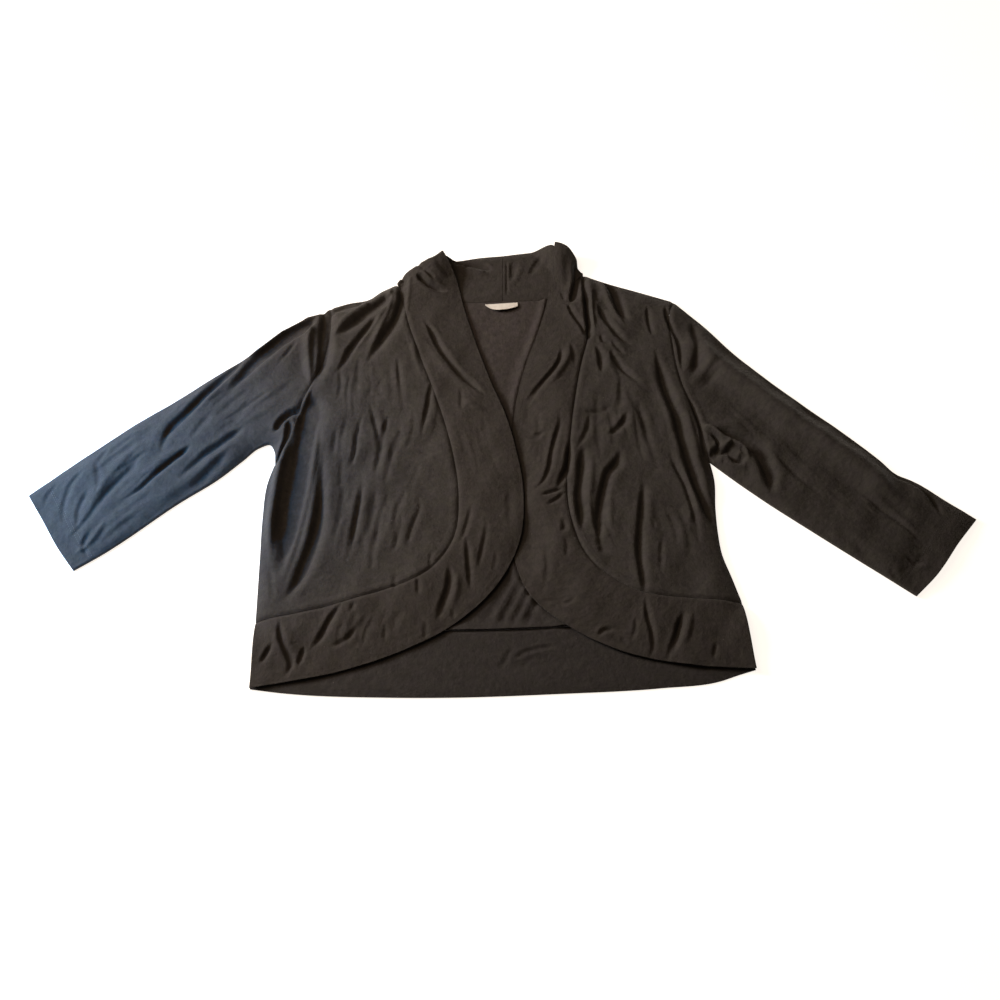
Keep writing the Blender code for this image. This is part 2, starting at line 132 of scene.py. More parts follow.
ROLL_AT_NECK, ROLL_AT_EDGE = 3.0, 18.0  # lift of the rolled collar, from the seam
ROLL_SHARE, ROLL_RUN = 0.8, 30.0  # to this share of its width, and around it
ROLL_AT_SEAM = 0.3  # share of its stand that the collar has along its seam
ROLL_STEPS = 18
BOW_ROWS, BOW_PEAK = 16, 6.75  # rows of the roll's bow, and what brings its top to 1
COLLAR_LOFT, COLLAR_RUN = 1.6, 12.0  # the back of the collar stands a little off the surface

OVERLAP, OVERLAP_RUN = ((9, 48), (16, -115)), 34.0  # the left band over the right one
OVERLAP_LIFT, OVERLAP_SINK = 3.6, 3.0  # of the left band there, and of the right one
FREE_EDGE = (-125.0, 45.0, 1.4)  # below this y, over this run, the right band stands off

SEAM_DIP, SEAM_RUN = 1.55, 2.1  # how far a seam pulls the cloth down
ALLOWANCE_RISE = 0.3  # the seam allowance shows as a low step beside the seam
ALLOWANCE_WIDTH, ALLOWANCE_STEP = 7.0, 2.0
EDGE_INSET, EDGE_STEPS = 2.2, 8  # sleeve section at its two long edges
SPREAD_COLUMNS = 3.0  # columns over which the move away from these edges fades

CUFF_HEM = 25.0  # depth of the turned hem, up to its two rows of stitches
HEM_RISE, HEM_STEP = 0.35, 1.5  # it is a little thicker than the rest
STITCH = (1.9, 0.5, 0.34)  # length, width and height of one stitch
STITCH_ROWS, STITCH_PITCH = (25.0, 21.5), 3.0
STITCH_SINK, STITCH_RUN = 0.25, 1.2  # a row pulls the cloth in by this, over this run
STITCH_SIDES = 6
STITCH_RINGS = ((-1.0, 0.0), (-0.8, 0.6), (0.0, 1.0), (0.8, 0.6), (1.0, 0.0))  # place, girth
STITCH_AHEAD = 0.5  # a stitch points to this much further along its row

LABEL_PLACE = (2.0, 208.0)  # middle of the label's sewn edge
LABEL_WIDTH, LABEL_DEPTH, LABEL_WALL = 40.0, 12.5, 0.7
LABEL_ENDS, LABEL_ROUND = (2.0, 7.0), 2.4  # depth at its left and right end
LABEL_TILT = 1.6  # its right end is sewn higher than its middle by this
LABEL_ARCH, LABEL_SAG = 4.0, 0.6  # rise of its free edge, and the share its ends lose
LABEL_COLUMNS, LABEL_ROWS = 49, 18

BACK_SWAY = 0.3  # the lower layers lie flatter
BACK_HIGH, BACK_LOW = 0.25, -0.9  # bounds of the creases where the fronts lie on the back
LOW_BACK = -110.0  # below this the back shows between the fronts
BACK_SEAM_DIP, BACK_SEAM_RUN = 1.3, 2.2
RIDGE, RIDGE_RUN = 2.3, 12.0  # the back stands up along the seam of its band
RIDGE_PLACE, RIDGE_FADE = (8.0, 92.0), 45.0  # around this x, this far to each side
HEM_HIGH = 0.4  # bound of the creases in the back hem
HEM_FALL, HEM_FALL_RUN = 1.0, 14.0  # it falls off towards its fold
BESIDE_ROWS = (3, 82, 4)  # fold of the back beside the right band: along which rungs,
BESIDE_AWAY = (-2.6, -1.2)
BESIDE = (4.0, 3.4, 0.08, 0.08, 0.5)  # its half width, rise, begin, end and lean

CORNER_SHARE = 0.66  # share of a band's length down to the corner of the front
SIDE, ARMHOLE = 14, 16  # shares of a front's outer edge
SIDE_ON_BACK, ARMHOLE_ON_BACK, SHOULDER_ON_BACK = 5, 8, 3

CELL, SLEEVE_CELL, BACK_CELL = 1.65, 2.0, 2.8  # size of a mesh cell
ROUND_OFF = np.array((0.0, 0.12, 0.3, 0.55, 0.9, 1.5))  # stations at a rounded edge
FINE = 2400  # steps that a curve's length is measured in
PATH_STEPS = 30  # steps along a crease
# steps along the lines that distances are measured from
OUTLINE_STEPS, SEAM_STEPS, FOLD_STEPS, BAND_STEPS = 12, 60, 100, 150

# -------------------- folds and creases

# Folds and creases drawn along the cloth. Rise is negative for a trough and
# positive for a ridge. Begin and end are the shares of the path over which it fades in
# and out, and lean says how much wider its one side is than its other side.
Crease = namedtuple("Crease", "path half_width rise begin end lean", defaults=(0.35, 0.35, 0.3))


def drawn(*rows):
    """Creases from the rows of a table."""
    return [Crease(places(path), *values) for path, *values in rows]


CREASES = drawn(
    # left sleeve: head and upper arm
    ("-222,176 -241,163 -262,145 -283,122 -301,98 -319,64", 7, -9.2, .08, .35, .1),
    ("-218,187 -241,176 -265,157 -288,132 -303,118", 4.5, 8.1, .15, .25, 0),
    ("-302,120 -324,93 -345,66 -362,42 -378,20 -385,-18", 5, -7, .15, .3),
    ("-304,119 -314,100 -327,78 -340,58 -354,36", 5, 2.6),
    ("-360,66 -376,44 -390,18 -395,-12", 6, 1.9),
    ("-224,178 -228,142 -224,102 -221,82", 5, 5.4, .2, .3),
    ("-211,194 -211,160 -210,128 -212,102 -219,74", 7, -9.7, .05, .45),
    ("-240,154 -250,132 -260,115", 2.5, -1.9),
    ("-247,141 -256,122 -266,104", 2.5, -1.1),
    ("-236,96 -262,66 -292,40", 5, -1.4),
    ("-252,60 -282,36 -312,22", 5, 1.4),
    ("-264,75 -284,60 -304,41", 3.5, -1.9),
    # forearm
    ("-349,0 -364,-16 -378,-31 -390,-45 -400,-58 -420,-78", 3.6, -5.8, .15, .45),
    ("-362,-2 -384,-25 -402,-44 -416,-66", 5.5, 2.8),
    ("-290,25 -304,13 -318,0 -332,-12 -348,-32 -366,-57", 5, -5.2, .2, .6),
    ("-403,-10 -415,-33 -428,-52 -437,-68 -442,-92", 5, -4.1),
    ("-404,2 -420,-18 -436,-44 -447,-70 -453,-98", 5.5, 3),
    ("-303,-6 -318,-25 -334,-45 -350,-63", 6, -3.5),
    ("-298,4 -326,-25 -356,-57 -386,-84", 6.5, 2.4),
    ("-330,45 -344,23 -353,5", 4.5, -2.2),
    ("-443,-4 -450,-18 -455,-33", 3, -1.9),
    ("-396,26 -414,4 -432,-14", 5, -1.6),
    ("-400,-78 -424,-98 -440,-118", 4.5, 1.7),
    ("-392,-85 -412,-105 -432,-128", 4.5, -2.2),
    # cuff
    ("-466,-34 -478,-54 -484,-74", 3, -2.6),
    ("-455,-54 -463,-84 -461,-114", 3.5, -3.2),
    ("-474,-50 -482,-80 -476,-106", 3, -2.6),
    ("-444,-108 -451,-126 -444,-146", 3.5, -3.5),
    ("-492,-48 -501,-66 -504,-84", 2.6, -1.9),
    ("-456,-22 -448,-46 -446,-70", 3.2, -2.4),
    ("-436,-60 -449,-92 -470,-124", 3.4, -2.6),
    ("-430,-96 -441,-122 -460,-142", 3.2, 2.8),
    # armpit
    ("-219,82 -227,52 -234,26 -239,-2", 2.6, 3.2, .2, .3),
    ("-230,46 -243,40 -252,30 -258,14", 4.2, -7.4, .15, .25),
    ("-241,32 -243,2 -249,-18 -254,-32", 4, -7, .15, .2),
    # left front: side
    ("-216,72 -219,30 -221,0 -223,-40 -225,-72 -228,-105 -235,-172", 12.5, -13.5, .12, .3, 0),
    ("-236,24 -243,-10 -247,-50 -249,-100 -247,-150", 6, 8.5, .25, .3, .3),
    ("-209,34 -209,-20 -212,-60 -217,-100 -224,-140 -233,-184", 4.5, 5.6, .2, .3),
    ("-198,10 -199,-30 -199,-62 -199,-95 -204,-132 -213,-165 -229,-202", 6.5, -9.5, .5, .25, .2),
    ("-248,-148 -243,-175 -238,-202", 2.5, -1.8),
    # gathers at the shoulder
    ("-206,187 -186,200 -164,206", 3.6, -3, .1, .2),
    ("-160,205 -184,181 -202,149", 5, 3, .05, .4),
    ("-140,210 -163,188 -184,165 -201,145", 7, -7, 0, .55),
    ("-138,198 -150,173 -166,143 -177,117", 4.5, 3, .1, .5),
    ("-147,186 -164,157 -179,131 -186,110 -197,91", 4.5, -5, .15, .45),
    ("-135,232 -133,205 -139,180 -149,150 -159,124", 4.5, 3.2, 0, .4),
    ("-121,234 -121,205 -127,178 -138,155 -150,130 -159,106", 6, -6.5, 0, .4),
    ("-111,236 -113,200 -118,165", 4, 2.4, 0, .5),
    ("-122,124 -119,98 -117,74", 3, -2.2),
    ("-104,152 -100,122 -90,90", 3.5, 1.6),
    # belly
    ("-152,60 -145,32 -138,4 -139,-24 -144,-54", 3, -3.4, .25, .35, .4),
    ("-143,64 -136,30 -130,-2", 4.5, 1.5),
    ("-81,84 -83,60 -86,38 -91,6", 3.2, -3.6, .15, .45),
    ("-74,60 -76,36 -80,10", 4, 1.4),
    ("-123,2 -125,-28 -130,-62", 2.8, -2),
    ("-152,-44 -156,-80 -160,-115 -161,-142", 3.2, -3.2),
    ("-145,-48 -148,-90 -151,-128", 4.5, 1.4),
    ("-108,-80 -109,-110 -118,-146", 2.8, -2.2),
    ("-84,-70 -91,-92 -98,-114 -102,-142", 3, -2.8),
    ("-92,-69 -88,-85", 2.2, -1.5),
    ("-131,-96 -137,-130 -138,-170", 3, -2.4),
    ("-151,-112 -147,-140", 2.5, -1.6),
    ("-75,-136 -75,-158", 2.5, -1.6),
    ("-188,26 -188,-24", 3, -2),
    ("-178,-16 -178,-66", 3, -2),
    ("-172,96 -170,60 -167,30", 3.4, -1.5),
    ("-127,19 -110,13 -93,10", 2.5, -1.7),
    ("-94,-8 -80,-13 -63,-8", 2.5, -1.5),
    ("-120,-50 -100,-58 -80,-65 -57,-75", 2.5, -1.6),
    # left band: down the front and along the hem
    ("-93,180 -83,160 -74,139 -60,115 -45,95 -30,80 -16,66", 3.4, -7.2, .25, .2, .4),
    ("-96,160 -82,134 -66,108 -46,84 -28,66", 5, 2.6),
    ("-46,80 -45,42", 2.6, -2.2),
    ("-44,62 -30,52 -13,43", 4.5, 2.4),
    ("-30,-76 -38,-110 -45,-132", 2.8, -2.6),
    ("-14,-96 -17,-122 -21,-142 -25,-164", 2.8, -2.6),
    ("-37,-116 -35,-142 -33,-165 -31,-188", 3.2, -3.8),
    ("8,-56 10,-84 10,-114", 4.5, -1.7),
    ("-3,-136 -8,-164", 2.8, -1.8),
    ("-54,-152 -55,-180 -61,-200 -67,-222", 4.5, -4.8, .3, .3),
    ("-46,-160 -46,-185 -52,-207", 4, 1.9),
    ("-50,-202 -49,-218", 2.5, -1.9),
    ("-88,-166 -86,-194", 2.8, -2.2),
    ("-112,-162 -112,-186", 2.6, -1.9),
    ("-78,-216 -78,-241", 2.6, -2.4),
    ("-120,-222 -120,-244", 2.6, -1.9),
    ("-164,-196 -178,-218 -186,-236 -197,-254", 3.6, -4.6),
    ("-153,-197 -158,-211", 2.5, -2.2),
    ("-145,-219 -158,-238 -178,-250", 3, -3.1),
    ("-230,-217 -228,-236 -221,-252 -215,-266 -222,-284", 3.5, -6),
    ("-202,-246 -208,-271", 2.8, -4.6),
    ("-235,-244 -247,-268", 2.8, -4.2),
    # collar
    ("-103,243 -88,230 -74,224 -60,222", 3.8, -8.6, .15, .45),
    ("-105,257 -92,246 -82,235 -73,228", 3, -3.6),
    ("-98,250 -88,238 -75,231", 3, 2.4),
    ("-88,263 -78,250 -64,237", 5, 2.6),
    # right band: collar
    ("93,268 95,250 93,232 90,216 85,202", 5.5, -10.4, .2, .25),
    ("76,274 76,248 78,226", 7, 3.1),
    ("75,223 79,207", 2.5, -2.6),
    ("82,206 87,190 93,178 99,166 102,150", 3, -4.9, .2, .2),
    # down the front
    ("73,140 71,122 61,102 50,88 38,71 23,46", 3, -5.2, .2, .25, .4),
    ("84,150 80,120 66,94 52,76", 4.5, 2.6),
    ("84,146 87,124 88,104", 3, -2.1),
    ("17,12 26,20 36,12 53,19", 3.2, -5.2, .15, .35),
    ("68,50 68,28 63,10 58,-12 54,-34 46,-52 29,-65", 3.2, -4.4),
    ("79,8 77,-12 74,-32 69,-44 61,-63", 3.8, -5.7),
    ("43,-68 58,-63 73,-58", 2.5, -3.6),
    ("49,-80 62,-73 72,-63", 2.5, -2.9),
    ("67,-96 70,-106 66,-116", 3.5, -2.9),
    ("48,-126 50,-160 45,-186", 3.5, -1.8),
    ("70,-118 72,-132 70,-148", 3, -1.8),
    # along the hem
    ("42,-195 56,-195 68,-199 82,-190", 2.2, -2.6),
    ("100,-237 108,-229 121,-229", 2.8, -4.7),
    ("142,-214 140,-230 134,-243", 2.4, -2.1),
    ("124,-235 132,-247", 2.4, -2.1),
    ("153,-188 154,-214 158,-236 157,-252 150,-264", 3.2, -3.9),
    ("194,-206 187,-222 182,-238 176,-252 169,-265", 4, -5.7),
    ("202,-206 196,-228 189,-250", 4, 2.1),
    ("224,-242 218,-263", 2.6, -2.9),
    # right front: gathers at the shoulder
    ("103,252 103,225 105,200 106,175 106,147", 4.2, -7, .1, .1),
    ("112,218 111,190 114,160", 3.4, 3.6),
    ("118,226 117,212 120,202", 4.5, -3),
    ("126,236 133,208 141,186 153,163", 4, 3.4, 0, .4),
    ("132,240 138,221 143,203 147,188 157,175", 6, -6.8, 0, .3),
    ("119,202 126,181 133,168 141,154 150,146 165,143", 4.2, -5.2, .2, .3),
    ("121,157 123,145 135,142", 3, -3),
    ("132,147 139,136 148,125", 3, -2.6),
    ("114,141 118,126 119,112 120,96", 4, -4.6),
    ("131,134 136,118 143,106 153,94 168,78", 3.6, -4.2, .2, .35),
    ("128,130 131,108 140,88", 4, 2),
    ("179,203 179,180 183,150", 3, -3),
    ("142,98 140,70 138,42", 4.5, -2.6),
    # side
    ("186,140 187,112 191,90 197,62 203,38 206,12 211,-18 217,-50 224,-78 233,-107", 5.5, -7.6, .25, .1, .2),
    ("176,122 182,80 192,40 198,0", 5, 2),
    ("213,68 218,30 222,0 227,-32 233,-68", 4, 2.4),
    ("190,-4 196,-30 204,-50 210,-76 214,-104 216,-134", 3.4, -3.6),
    ("196,0 206,-36 213,-64 222,-94", 4, 2.2),
    # belly
    ("94,43 108,44 120,46 130,55", 3.2, -2.8),
    ("149,46 143,34 137,24 120,10", 4, -4.8),
    ("104,44 100,22 93,5 86,-8", 3.4, -3),
    ("95,2 92,-20 90,-45 87,-65 88,-90 90,-116", 5.5, -6.2, .3, .25),
    ("104,-2 102,-40 99,-80 99,-112", 5, 2.2),
    ("138,-6 130,-26 121,-38 116,-54 111,-76 108,-100 109,-126", 5.5, -6.2, .2, .2),
    ("102,-122 111,-130 106,-142", 7, -3.4),
    ("125,-44 121,-80 120,-114", 5, 1.6),
    ("160,-40 158,-66 155,-88 152,-112 150,-140 152,-170 153,-194", 4.6, -5.2, .3, .2),
    ("142,-70 142,-110 141,-150", 5, 1.4),
    ("179,-114 174,-130 172,-150 171,-168", 2.6, -2.2),
    ("165,-96 169,-112", 2.4, -1.4),
    ("144,112 150,70 164,30 170,-10", 4.5, -1.5),
    ("160,62 168,10 178,-42", 4, -1.7),
    # right sleeve: head
    ("201,200 202,178 208,160 213,140 214,116 214,94", 3.2, -4, .1, .3),
    ("221,152 224,120 216,94", 5, 2),
    ("231,178 233,152 235,132 232,112 222,91", 6, -5.4, .2, .3),
    ("220,82 234,92 246,108 261,126", 6.5, 2.8),
    ("235,77 247,90 260,105", 4, -2),
    ("219,64 225,40 229,20 230,0 233,-20", 2.6, -3.4, .2, .1),
    # armpit
    ("230,25 241,20 252,10 264,2 276,-7 281,-24", 3.4, 7, .15, .3, 0),
    ("263,2 253,-6 244,-13", 2.8, 5.5, .2, .3, 0),
    ("241,15 247,3 246,-7", 3, -6),
    ("245,22 264,11 281,2 292,-9 298,-26 301,-46 303,-70", 8, -10, .15, .3, .1),
    ("237,-15 249,-9 258,-11 265,-20 278,-20", 5, -9, .1, .15),
    # arm
    ("218,160 256,112 303,64 353,17 402,-28 434,-68 464,-94", 16, 10, .15, .2, 0),
    ("303,-2 318,-24 334,-45 352,-64 363,-74", 4.5, -2.2),
    ("312,10 330,-16 352,-42 371,-62", 6, 1.5),
    ("393,-56 414,-79 431,-96 446,-112 460,-132", 3.4, -3),
    ("408,-60 428,-84 453,-114", 4.5, 1.8),
    ("403,-75 422,-95", 3, -1.6),
    ("300,60 340,16 380,-26", 6, -1.3),
    ("290,30 320,-4 352,-40", 6.5, 1),
    ("262,92 290,70 312,42", 5, -1.2),
    ("360,-106 380,-124 402,-148", 6, -2),
    # cuff
    ("441,-39 456,-46 469,-58 479,-76 485,-96", 4, -4.6, .1, .3),
    ("435,-141 446,-150 463,-145", 3, -2.2),
    ("440,-160 450,-146 463,-137", 2.8, -1.6),
    ("415,-158 425,-169", 4, -2.2),
)
COLLAR_CREASES = drawn(  # on the back of the collar, behind the neck
    ("-56,276 -32,270 -8,260", 5, -6, .1, .3),
    ("-50,262 -28,256 -10,250", 5, 3.4),
    ("-16,246 -6,254 0,266", 5, .8),
    ("8,276 8,240 8,218", 1.6, -2.2, .2, .2),
    ("15,276 15,256 13,240", 5, -3.2),
    ("14,232 22,252 30,272", 4.5, 1.4),
    ("35,250 42,264 53,284", 3.6, -3.6),
)
BACK_CREASES = drawn(
    ("24,-172 12,-196 -1,-222", 2.6, -3, .1, .2),
    ("33,-176 23,-198 12,-222", 2.6, -2.6, .1, .2),
    ("42,-188 34,-204 26,-222", 2.8, -3.2, .1, .2),
    ("-6,-196 -12,-208 -20,-220", 3, -2.6),
    ("60,-206 72,-212 90,-214", 3.5, -1.2),
    ("-22,150 -16,110 -4,70", 7, -1),
    ("34,160 26,110 12,66", 7, -1),
    ("13,-245 6,-257 0,-270", 2.4, -3.5),
    ("10,-262 26,-251 41,-247 62,-245", 2.4, -3.2),
    ("114,-243 130,-250 145,-259", 2.6, -2.4),
    ("38,-254 28,-262 22,-270", 2.4, -1.2),
    ("70,-260 60,-271", 2.4, -1),
    ("-60,-262 -20,-268 40,-262 110,-256", 7, -1),
)
BACK_FOLDS = drawn(  # these stand up from the back
    ("18,-168 6,-193 -8,-222", 2.5, 2.6, .1, .2),
    ("28,-174 17,-197 5,-222", 2.3, 2.2, .1, .2),
    ("37,-182 28,-201 18,-222", 2.4, 2.5, .1, .2),
)

# Sets of faint parallel creases. Each runs between two lines across the cloth: the lines'
# ends, how many creases, how deep and how wide they are, and how much they stray.
PLEATINGS = (
    ("-186,60 -96,60 -196,-60 -110,-60", 12, -2.1, 2.8, 7),
    ("-188,-20 -84,-10 -200,-170 -104,-150", 12, -2.0, 2.8, 8),
    ("-190,130 -112,130 -192,20 -96,20", 9, -1.5, 3.0, 7),
    ("112,90 176,90 112,-40 196,-40", 8, -1.5, 3.2, 7),
    ("96,-60 214,-60 110,-160 226,-160", 9, -1.5, 3.4, 8),
    ("-60,60 -22,70 -30,-60 6,-50", 5, -1.3, 3.0, 6),
    ("40,60 76,60 24,-50 66,-50", 5, -1.3, 3.0, 6),
    ("-300,110 -262,60 -360,40 -320,-10", 6, -1.4, 3.4, 6),
    ("-400,30 -356,-50 -470,-40 -430,-110", 8, -1.5, 3.2, 6),
    ("250,110 262,40 330,30 318,-40", 6, -1.0, 4.5, 6),
    ("350,20 340,-60 450,-70 424,-140", 7, -1.0, 4.5, 6),
    ("-170,-206 -90,-186 -180,-262 -110,-246", 6, -1.4, 3.2, 5),
)
PLEAT_SEED = 7
PLEAT_SHIFT = (-0.35, 0.35)  # ranges that a crease of a set is drawn from
PLEAT_BEGIN, PLEAT_STOP = (0.0, 0.35), (0.6, 1.0)
PLEAT_WIDTH, PLEAT_RISE, PLEAT_LEAN = (0.8, 1.4), (0.4, 1.3), (0.1, 0.5)

# Slow unevenness of cloth laid down by hand: wavelength along x and y, phase and height
SWAYS = ((83, 210, 0.4, 0.55), (-61, 133, 2.1, 0.42), (47, -98, 4.0, 0.34),
         (34, 71, 1.2, 0.22), (-27, 52, 5.3, 0.16), (119, -64, 3.1, 0.36))
SWAY_BEND = (0.8, 41.0)  # each wave is bent by this, along y


# -------------------- curves and patches

def even(cells):
    """Shares from 0 to 1, one for each station along an edge."""
    return np.linspace(0.0, 1.0, cells + 1)


def graded(length, cell, ends=(True, True)):
    """Shares along a length, closer together at the ends that are rounded off."""
    start = ROUND_OFF if ends[0] else ROUND_OFF[:1]
    stop = length - ROUND_OFF[::-1] if ends[1] else np.array((length,))
    middle = np.linspace(start[-1], stop[0], max(2, round((stop[0] - start[-1]) / cell)) + 1)
    return np.concatenate((start[:-1], middle, stop[1:])) / length


def between(first, last, share):
    """The place at a share of the way from one point to another."""
    return first * (1 - share) + last * share


def unit(runs):
    return runs / np.maximum(np.linalg.norm(runs, axis=-1, keepdims=True), 1e-9)


def lengths(points):
    """How far along its line each point lies. The lines of a grid are its columns."""
    steps = np.linalg.norm(np.diff(points, axis=0), axis=-1)
    return np.concatenate((0 * steps[:1], np.cumsum(steps, axis=0)))


def curve(points, shares):
    """Points at the given shares of the length of a smooth curve through a few others."""
    knots = np.array(points, float)
    along = lengths(knots)
    slope = np.gradient(knots, along, axis=0)
    fine = np.linspace(0.0, along[-1], FINE)
    start = np.clip(np.searchsorted(along, fine, "right") - 1, 0, len(knots) - 2)
    span = np.linalg.norm(knots[start + 1] - knots[start], axis=1)[:, None]
    t = (fine - along[start])[:, None] / span
    path = ((2 * t**3 - 3 * t**2 + 1) * knots[start] + (t**3 - 2 * t**2 + t) * span * slope[start]
            + (3 * t**2 - 2 * t**3) * knots[start + 1] + (t**3 - t**2) * span * slope[start + 1])
    length = lengths(path)
    wanted = np.asarray(shares) * length[-1]
    return np.column_stack([np.interp(wanted, length, column) for column in path.T])


def joined(parts, shares):
    """Points along several curves end to end: each part is its points and its weight."""
    weights = np.array([weight for _, weight in parts], float)
    stops = np.concatenate(([0.0], np.cumsum(weights / weights.sum())))
    result = np.empty((len(shares), 2))
    for (points, _), start, stop in zip(parts, stops[:-1], stops[1:]):
        here = (shares >= start) & (shares <= stop)
        result[here] = curve(points, (shares[here] - start) / (stop - start))
    return result


def rungs(half, shares):
    """Seam line and folded edge of the part of a band that lies on the front."""
    return np.hsplit(curve(half.rungs, shares), 2)


def armhole_seam(half):
    return curve(half.armhole, even(SEAM_STEPS))


def band_seam(half):
    return rungs(half, even(BAND_STEPS))[0]


def patch(first, last, start, end, v, u):
    """A plan of points between four edges: rows run from start to end."""
    v, u = v[:, None, None], u[None, :, None]
    corners = between(between(start[0], start[-1], u), between(end[0], end[-1], u), v)
    return between(first[:, None], last[:, None], u) + between(start[None], end[None], v) - corners


def inset(plan):
    """The same plan with all four edges moved inwards by half a gap."""
    moved = plan.copy()
    for edge, inner in ((0, 1), (-1, -2)):
        for grid, target in ((plan, moved), (plan.swapaxes(0, 1), moved.swapaxes(0, 1))):
            tangent = unit(np.gradient(grid[edge], axis=0))
            inwards = grid[inner] - grid[edge]
            inwards -= (inwards * tangent).sum(axis=1)[:, None] * tangent
            target[edge] += unit(inwards) * (PIECE_GAP / 2)
    return moved


def segment_distance(plan, start, end):
    """Distance in plan from a segment, and the share along it of the nearest point."""
    x, y = plan[..., 0] - start[0], plan[..., 1] - start[1]
    run = np.subtract(end, start).astype(float)
    t = np.clip((x * run[0] + y * run[1]) / (run @ run), 0.0, 1.0)
    return np.hypot(x - t * run[0], y - t * run[1]), t


def line_distance(plan, line):
    """Distance in plan from a line of points."""
    nearest = np.full(plan.shape[:-1], np.inf)
    for start, end in zip(line[:-1], line[1:]):
        nearest = np.minimum(nearest, segment_distance(plan, start, end)[0])
    return nearest


def outline_distance(plan):
    """Distance in plan from the garment's closed outer edges. The neck and cuffs are open."""
    edges = [edge for half in (LEFT, RIGHT)
             for edge in (half.shoulder, half.sleeve_top, half.sleeve_under, half.side)]
    return np.min([line_distance(plan, curve(edge, even(OUTLINE_STEPS))) for edge in edges], axis=0)


def edge_run(plan, *edges):
    """Distance of each point from the nearest named edge, or from any, along its row or column."""
    down, across = lengths(plan), lengths(plan.swapaxes(0, 1)).T
    runs = {"start": down, "end": down[-1:] - down,
            "first": across, "last": across[:, -1:] - across}
    return np.min([runs[edge] for edge in edges or runs], axis=0)


# -------------------- relief

def smoothstep(t):
    t = np.clip(t, 0.0, 1.0)
    return t * t * (3 - 2 * t)


def rising(low, high, t):
    return low + (high - low) * smoothstep(t)


def bell(distance, run):
    """1 on a line, falling off smoothly at a distance from it."""
    return np.exp(-(distance / run) ** 2)


def drop(distance, run, power=2):
    """1 on a line, falling off steeply at first, to nothing at the end of a run."""
    return np.clip(1 - distance / run, 0.0, 1.0) ** power


def fade_in(t, run):
    return smoothstep(t / run) if run > 0 else np.ones(np.shape(t))


def crease_height(crease, plan):
    """What one crease adds: a trough or ridge along a smooth path, with its two banks."""
    line = curve(crease.path, even(PATH_STEPS))
    reach = CREASE_REACH * crease.half_width
    height = np.zeros(plan.shape[:-1])
    near = ((plan > line.min(axis=0) - reach) & (plan < line.max(axis=0) + reach)).all(axis=-1)
    if not near.any():
        return height
    at = plan[near]
    best, along, side = np.full(len(at), np.inf), np.zeros(len(at)), np.zeros(len(at))
    for step, (start, end) in enumerate(zip(line[:-1], line[1:])):
        distance, t = segment_distance(at, start, end)
        run = unit(end - start)
        left = np.sign(run[0] * (at[:, 1] - start[1]) - run[1] * (at[:, 0] - start[0]))
        lies = left * (LIE[1] * run[0] - LIE[0] * run[1])
        nearer = distance < best
        best = np.where(nearer, distance, best)
        side = np.where(nearer, lies, side)
        along = np.where(nearer, (step + t) / PATH_STEPS, along)
    fade = fade_in(along, crease.begin) * fade_in(1 - along, crease.end)
    width = crease.half_width * (1 - TAPER * (1 - fade)) * (
        1 + np.sign(crease.rise) * crease.lean * side)
    q = (best / width) ** 2
    rise = math.copysign(DEEPEST * (abs(crease.rise) / DEEP) ** EASE, crease.rise)
    height[near] = rise * fade * ((1 + BANK) * np.exp(-q) - BANK * np.exp(-q / 4))
    return height


def creased(creases, plan):
    """What all the creases of a list add."""
    return sum(crease_height(crease, plan) for crease in creases)


def pleating_creases():
    """The rows of the pleatings as single creases, each drawn a little out of line."""
    draw = np.random.default_rng(PLEAT_SEED)
    creases = []
    for lines, count, rise, half_width, stray in PLEATINGS:
        first, last = places(lines).reshape(2, 2, 2).swapaxes(0, 1)
        for n in range(count):
            top, foot = between(first, last, (n + 0.5 + draw.uniform(*PLEAT_SHIFT)) / count)
            begin, stop = draw.uniform(*PLEAT_BEGIN), draw.uniform(*PLEAT_STOP)
            start, end = top + (foot - top) * begin, top + (foot - top) * stop
            middle = (start + end) / 2 + draw.uniform(-1, 1, 2) * stray
            creases.append(Crease(
                (start, middle, end), half_width * draw.uniform(*PLEAT_WIDTH),
                rise * draw.uniform(*PLEAT_RISE), lean=draw.uniform(*PLEAT_LEAN)))
    return creases


FAINT_CREASES = pleating_creases()


def sway(plan):
    """Slow unevenness of cloth smoothed out by hand."""
    x, y = plan[..., 0], plan[..., 1]
    bend, bend_run = SWAY_BEND
    return sum(height * np.sin(2 * np.pi * (x / along_x + y / along_y) + phase
                               + bend * np.sin(y / bend_run + phase))
               for along_x, along_y, phase, height in SWAYS)


def relief(plan, share=1.0, lift=0.0):
    """Height of the upper layer, with a share of the full loft, where it is lifted too."""
    distance = outline_distance(plan)
    to_cuff = np.minimum(line_distance(plan, LEFT.cuff), line_distance(plan, RIGHT.cuff))
    loft = LOFT * share * rising(CUFF_LOFT, 1, to_cuff / CUFF_RUN)
    raised = (lift + loft * (1 - drop(distance, LOFT_RUN, LOFT_ROUND))
              + (creased(CREASES + FAINT_CREASES, plan) + sway(plan))
              * (LEAST_CREASE + (1 - LEAST_CREASE) * share) * (1 - bell(distance, CREASE_RUN)))
    return 0.5 * (raised + np.sqrt(raised**2 + LEAST_RELIEF**2))


def seam_dip(plan):
    """How far the seams pull the cloth down near a point."""
    nearest = np.min([line_distance(plan, seam(half)) for seam in (armhole_seam, band_seam)
                      for half in (LEFT, RIGHT)], axis=0)
    return SEAM_DIP * bell(nearest, SEAM_RUN)


def allowance(plan, seam):
    """The low step over the seam allowance, on the side that it is pressed to."""
    beyond = line_distance(plan, seam) - ALLOWANCE_WIDTH
    return ALLOWANCE_RISE * (1 - smoothstep(beyond / ALLOWANCE_STEP))


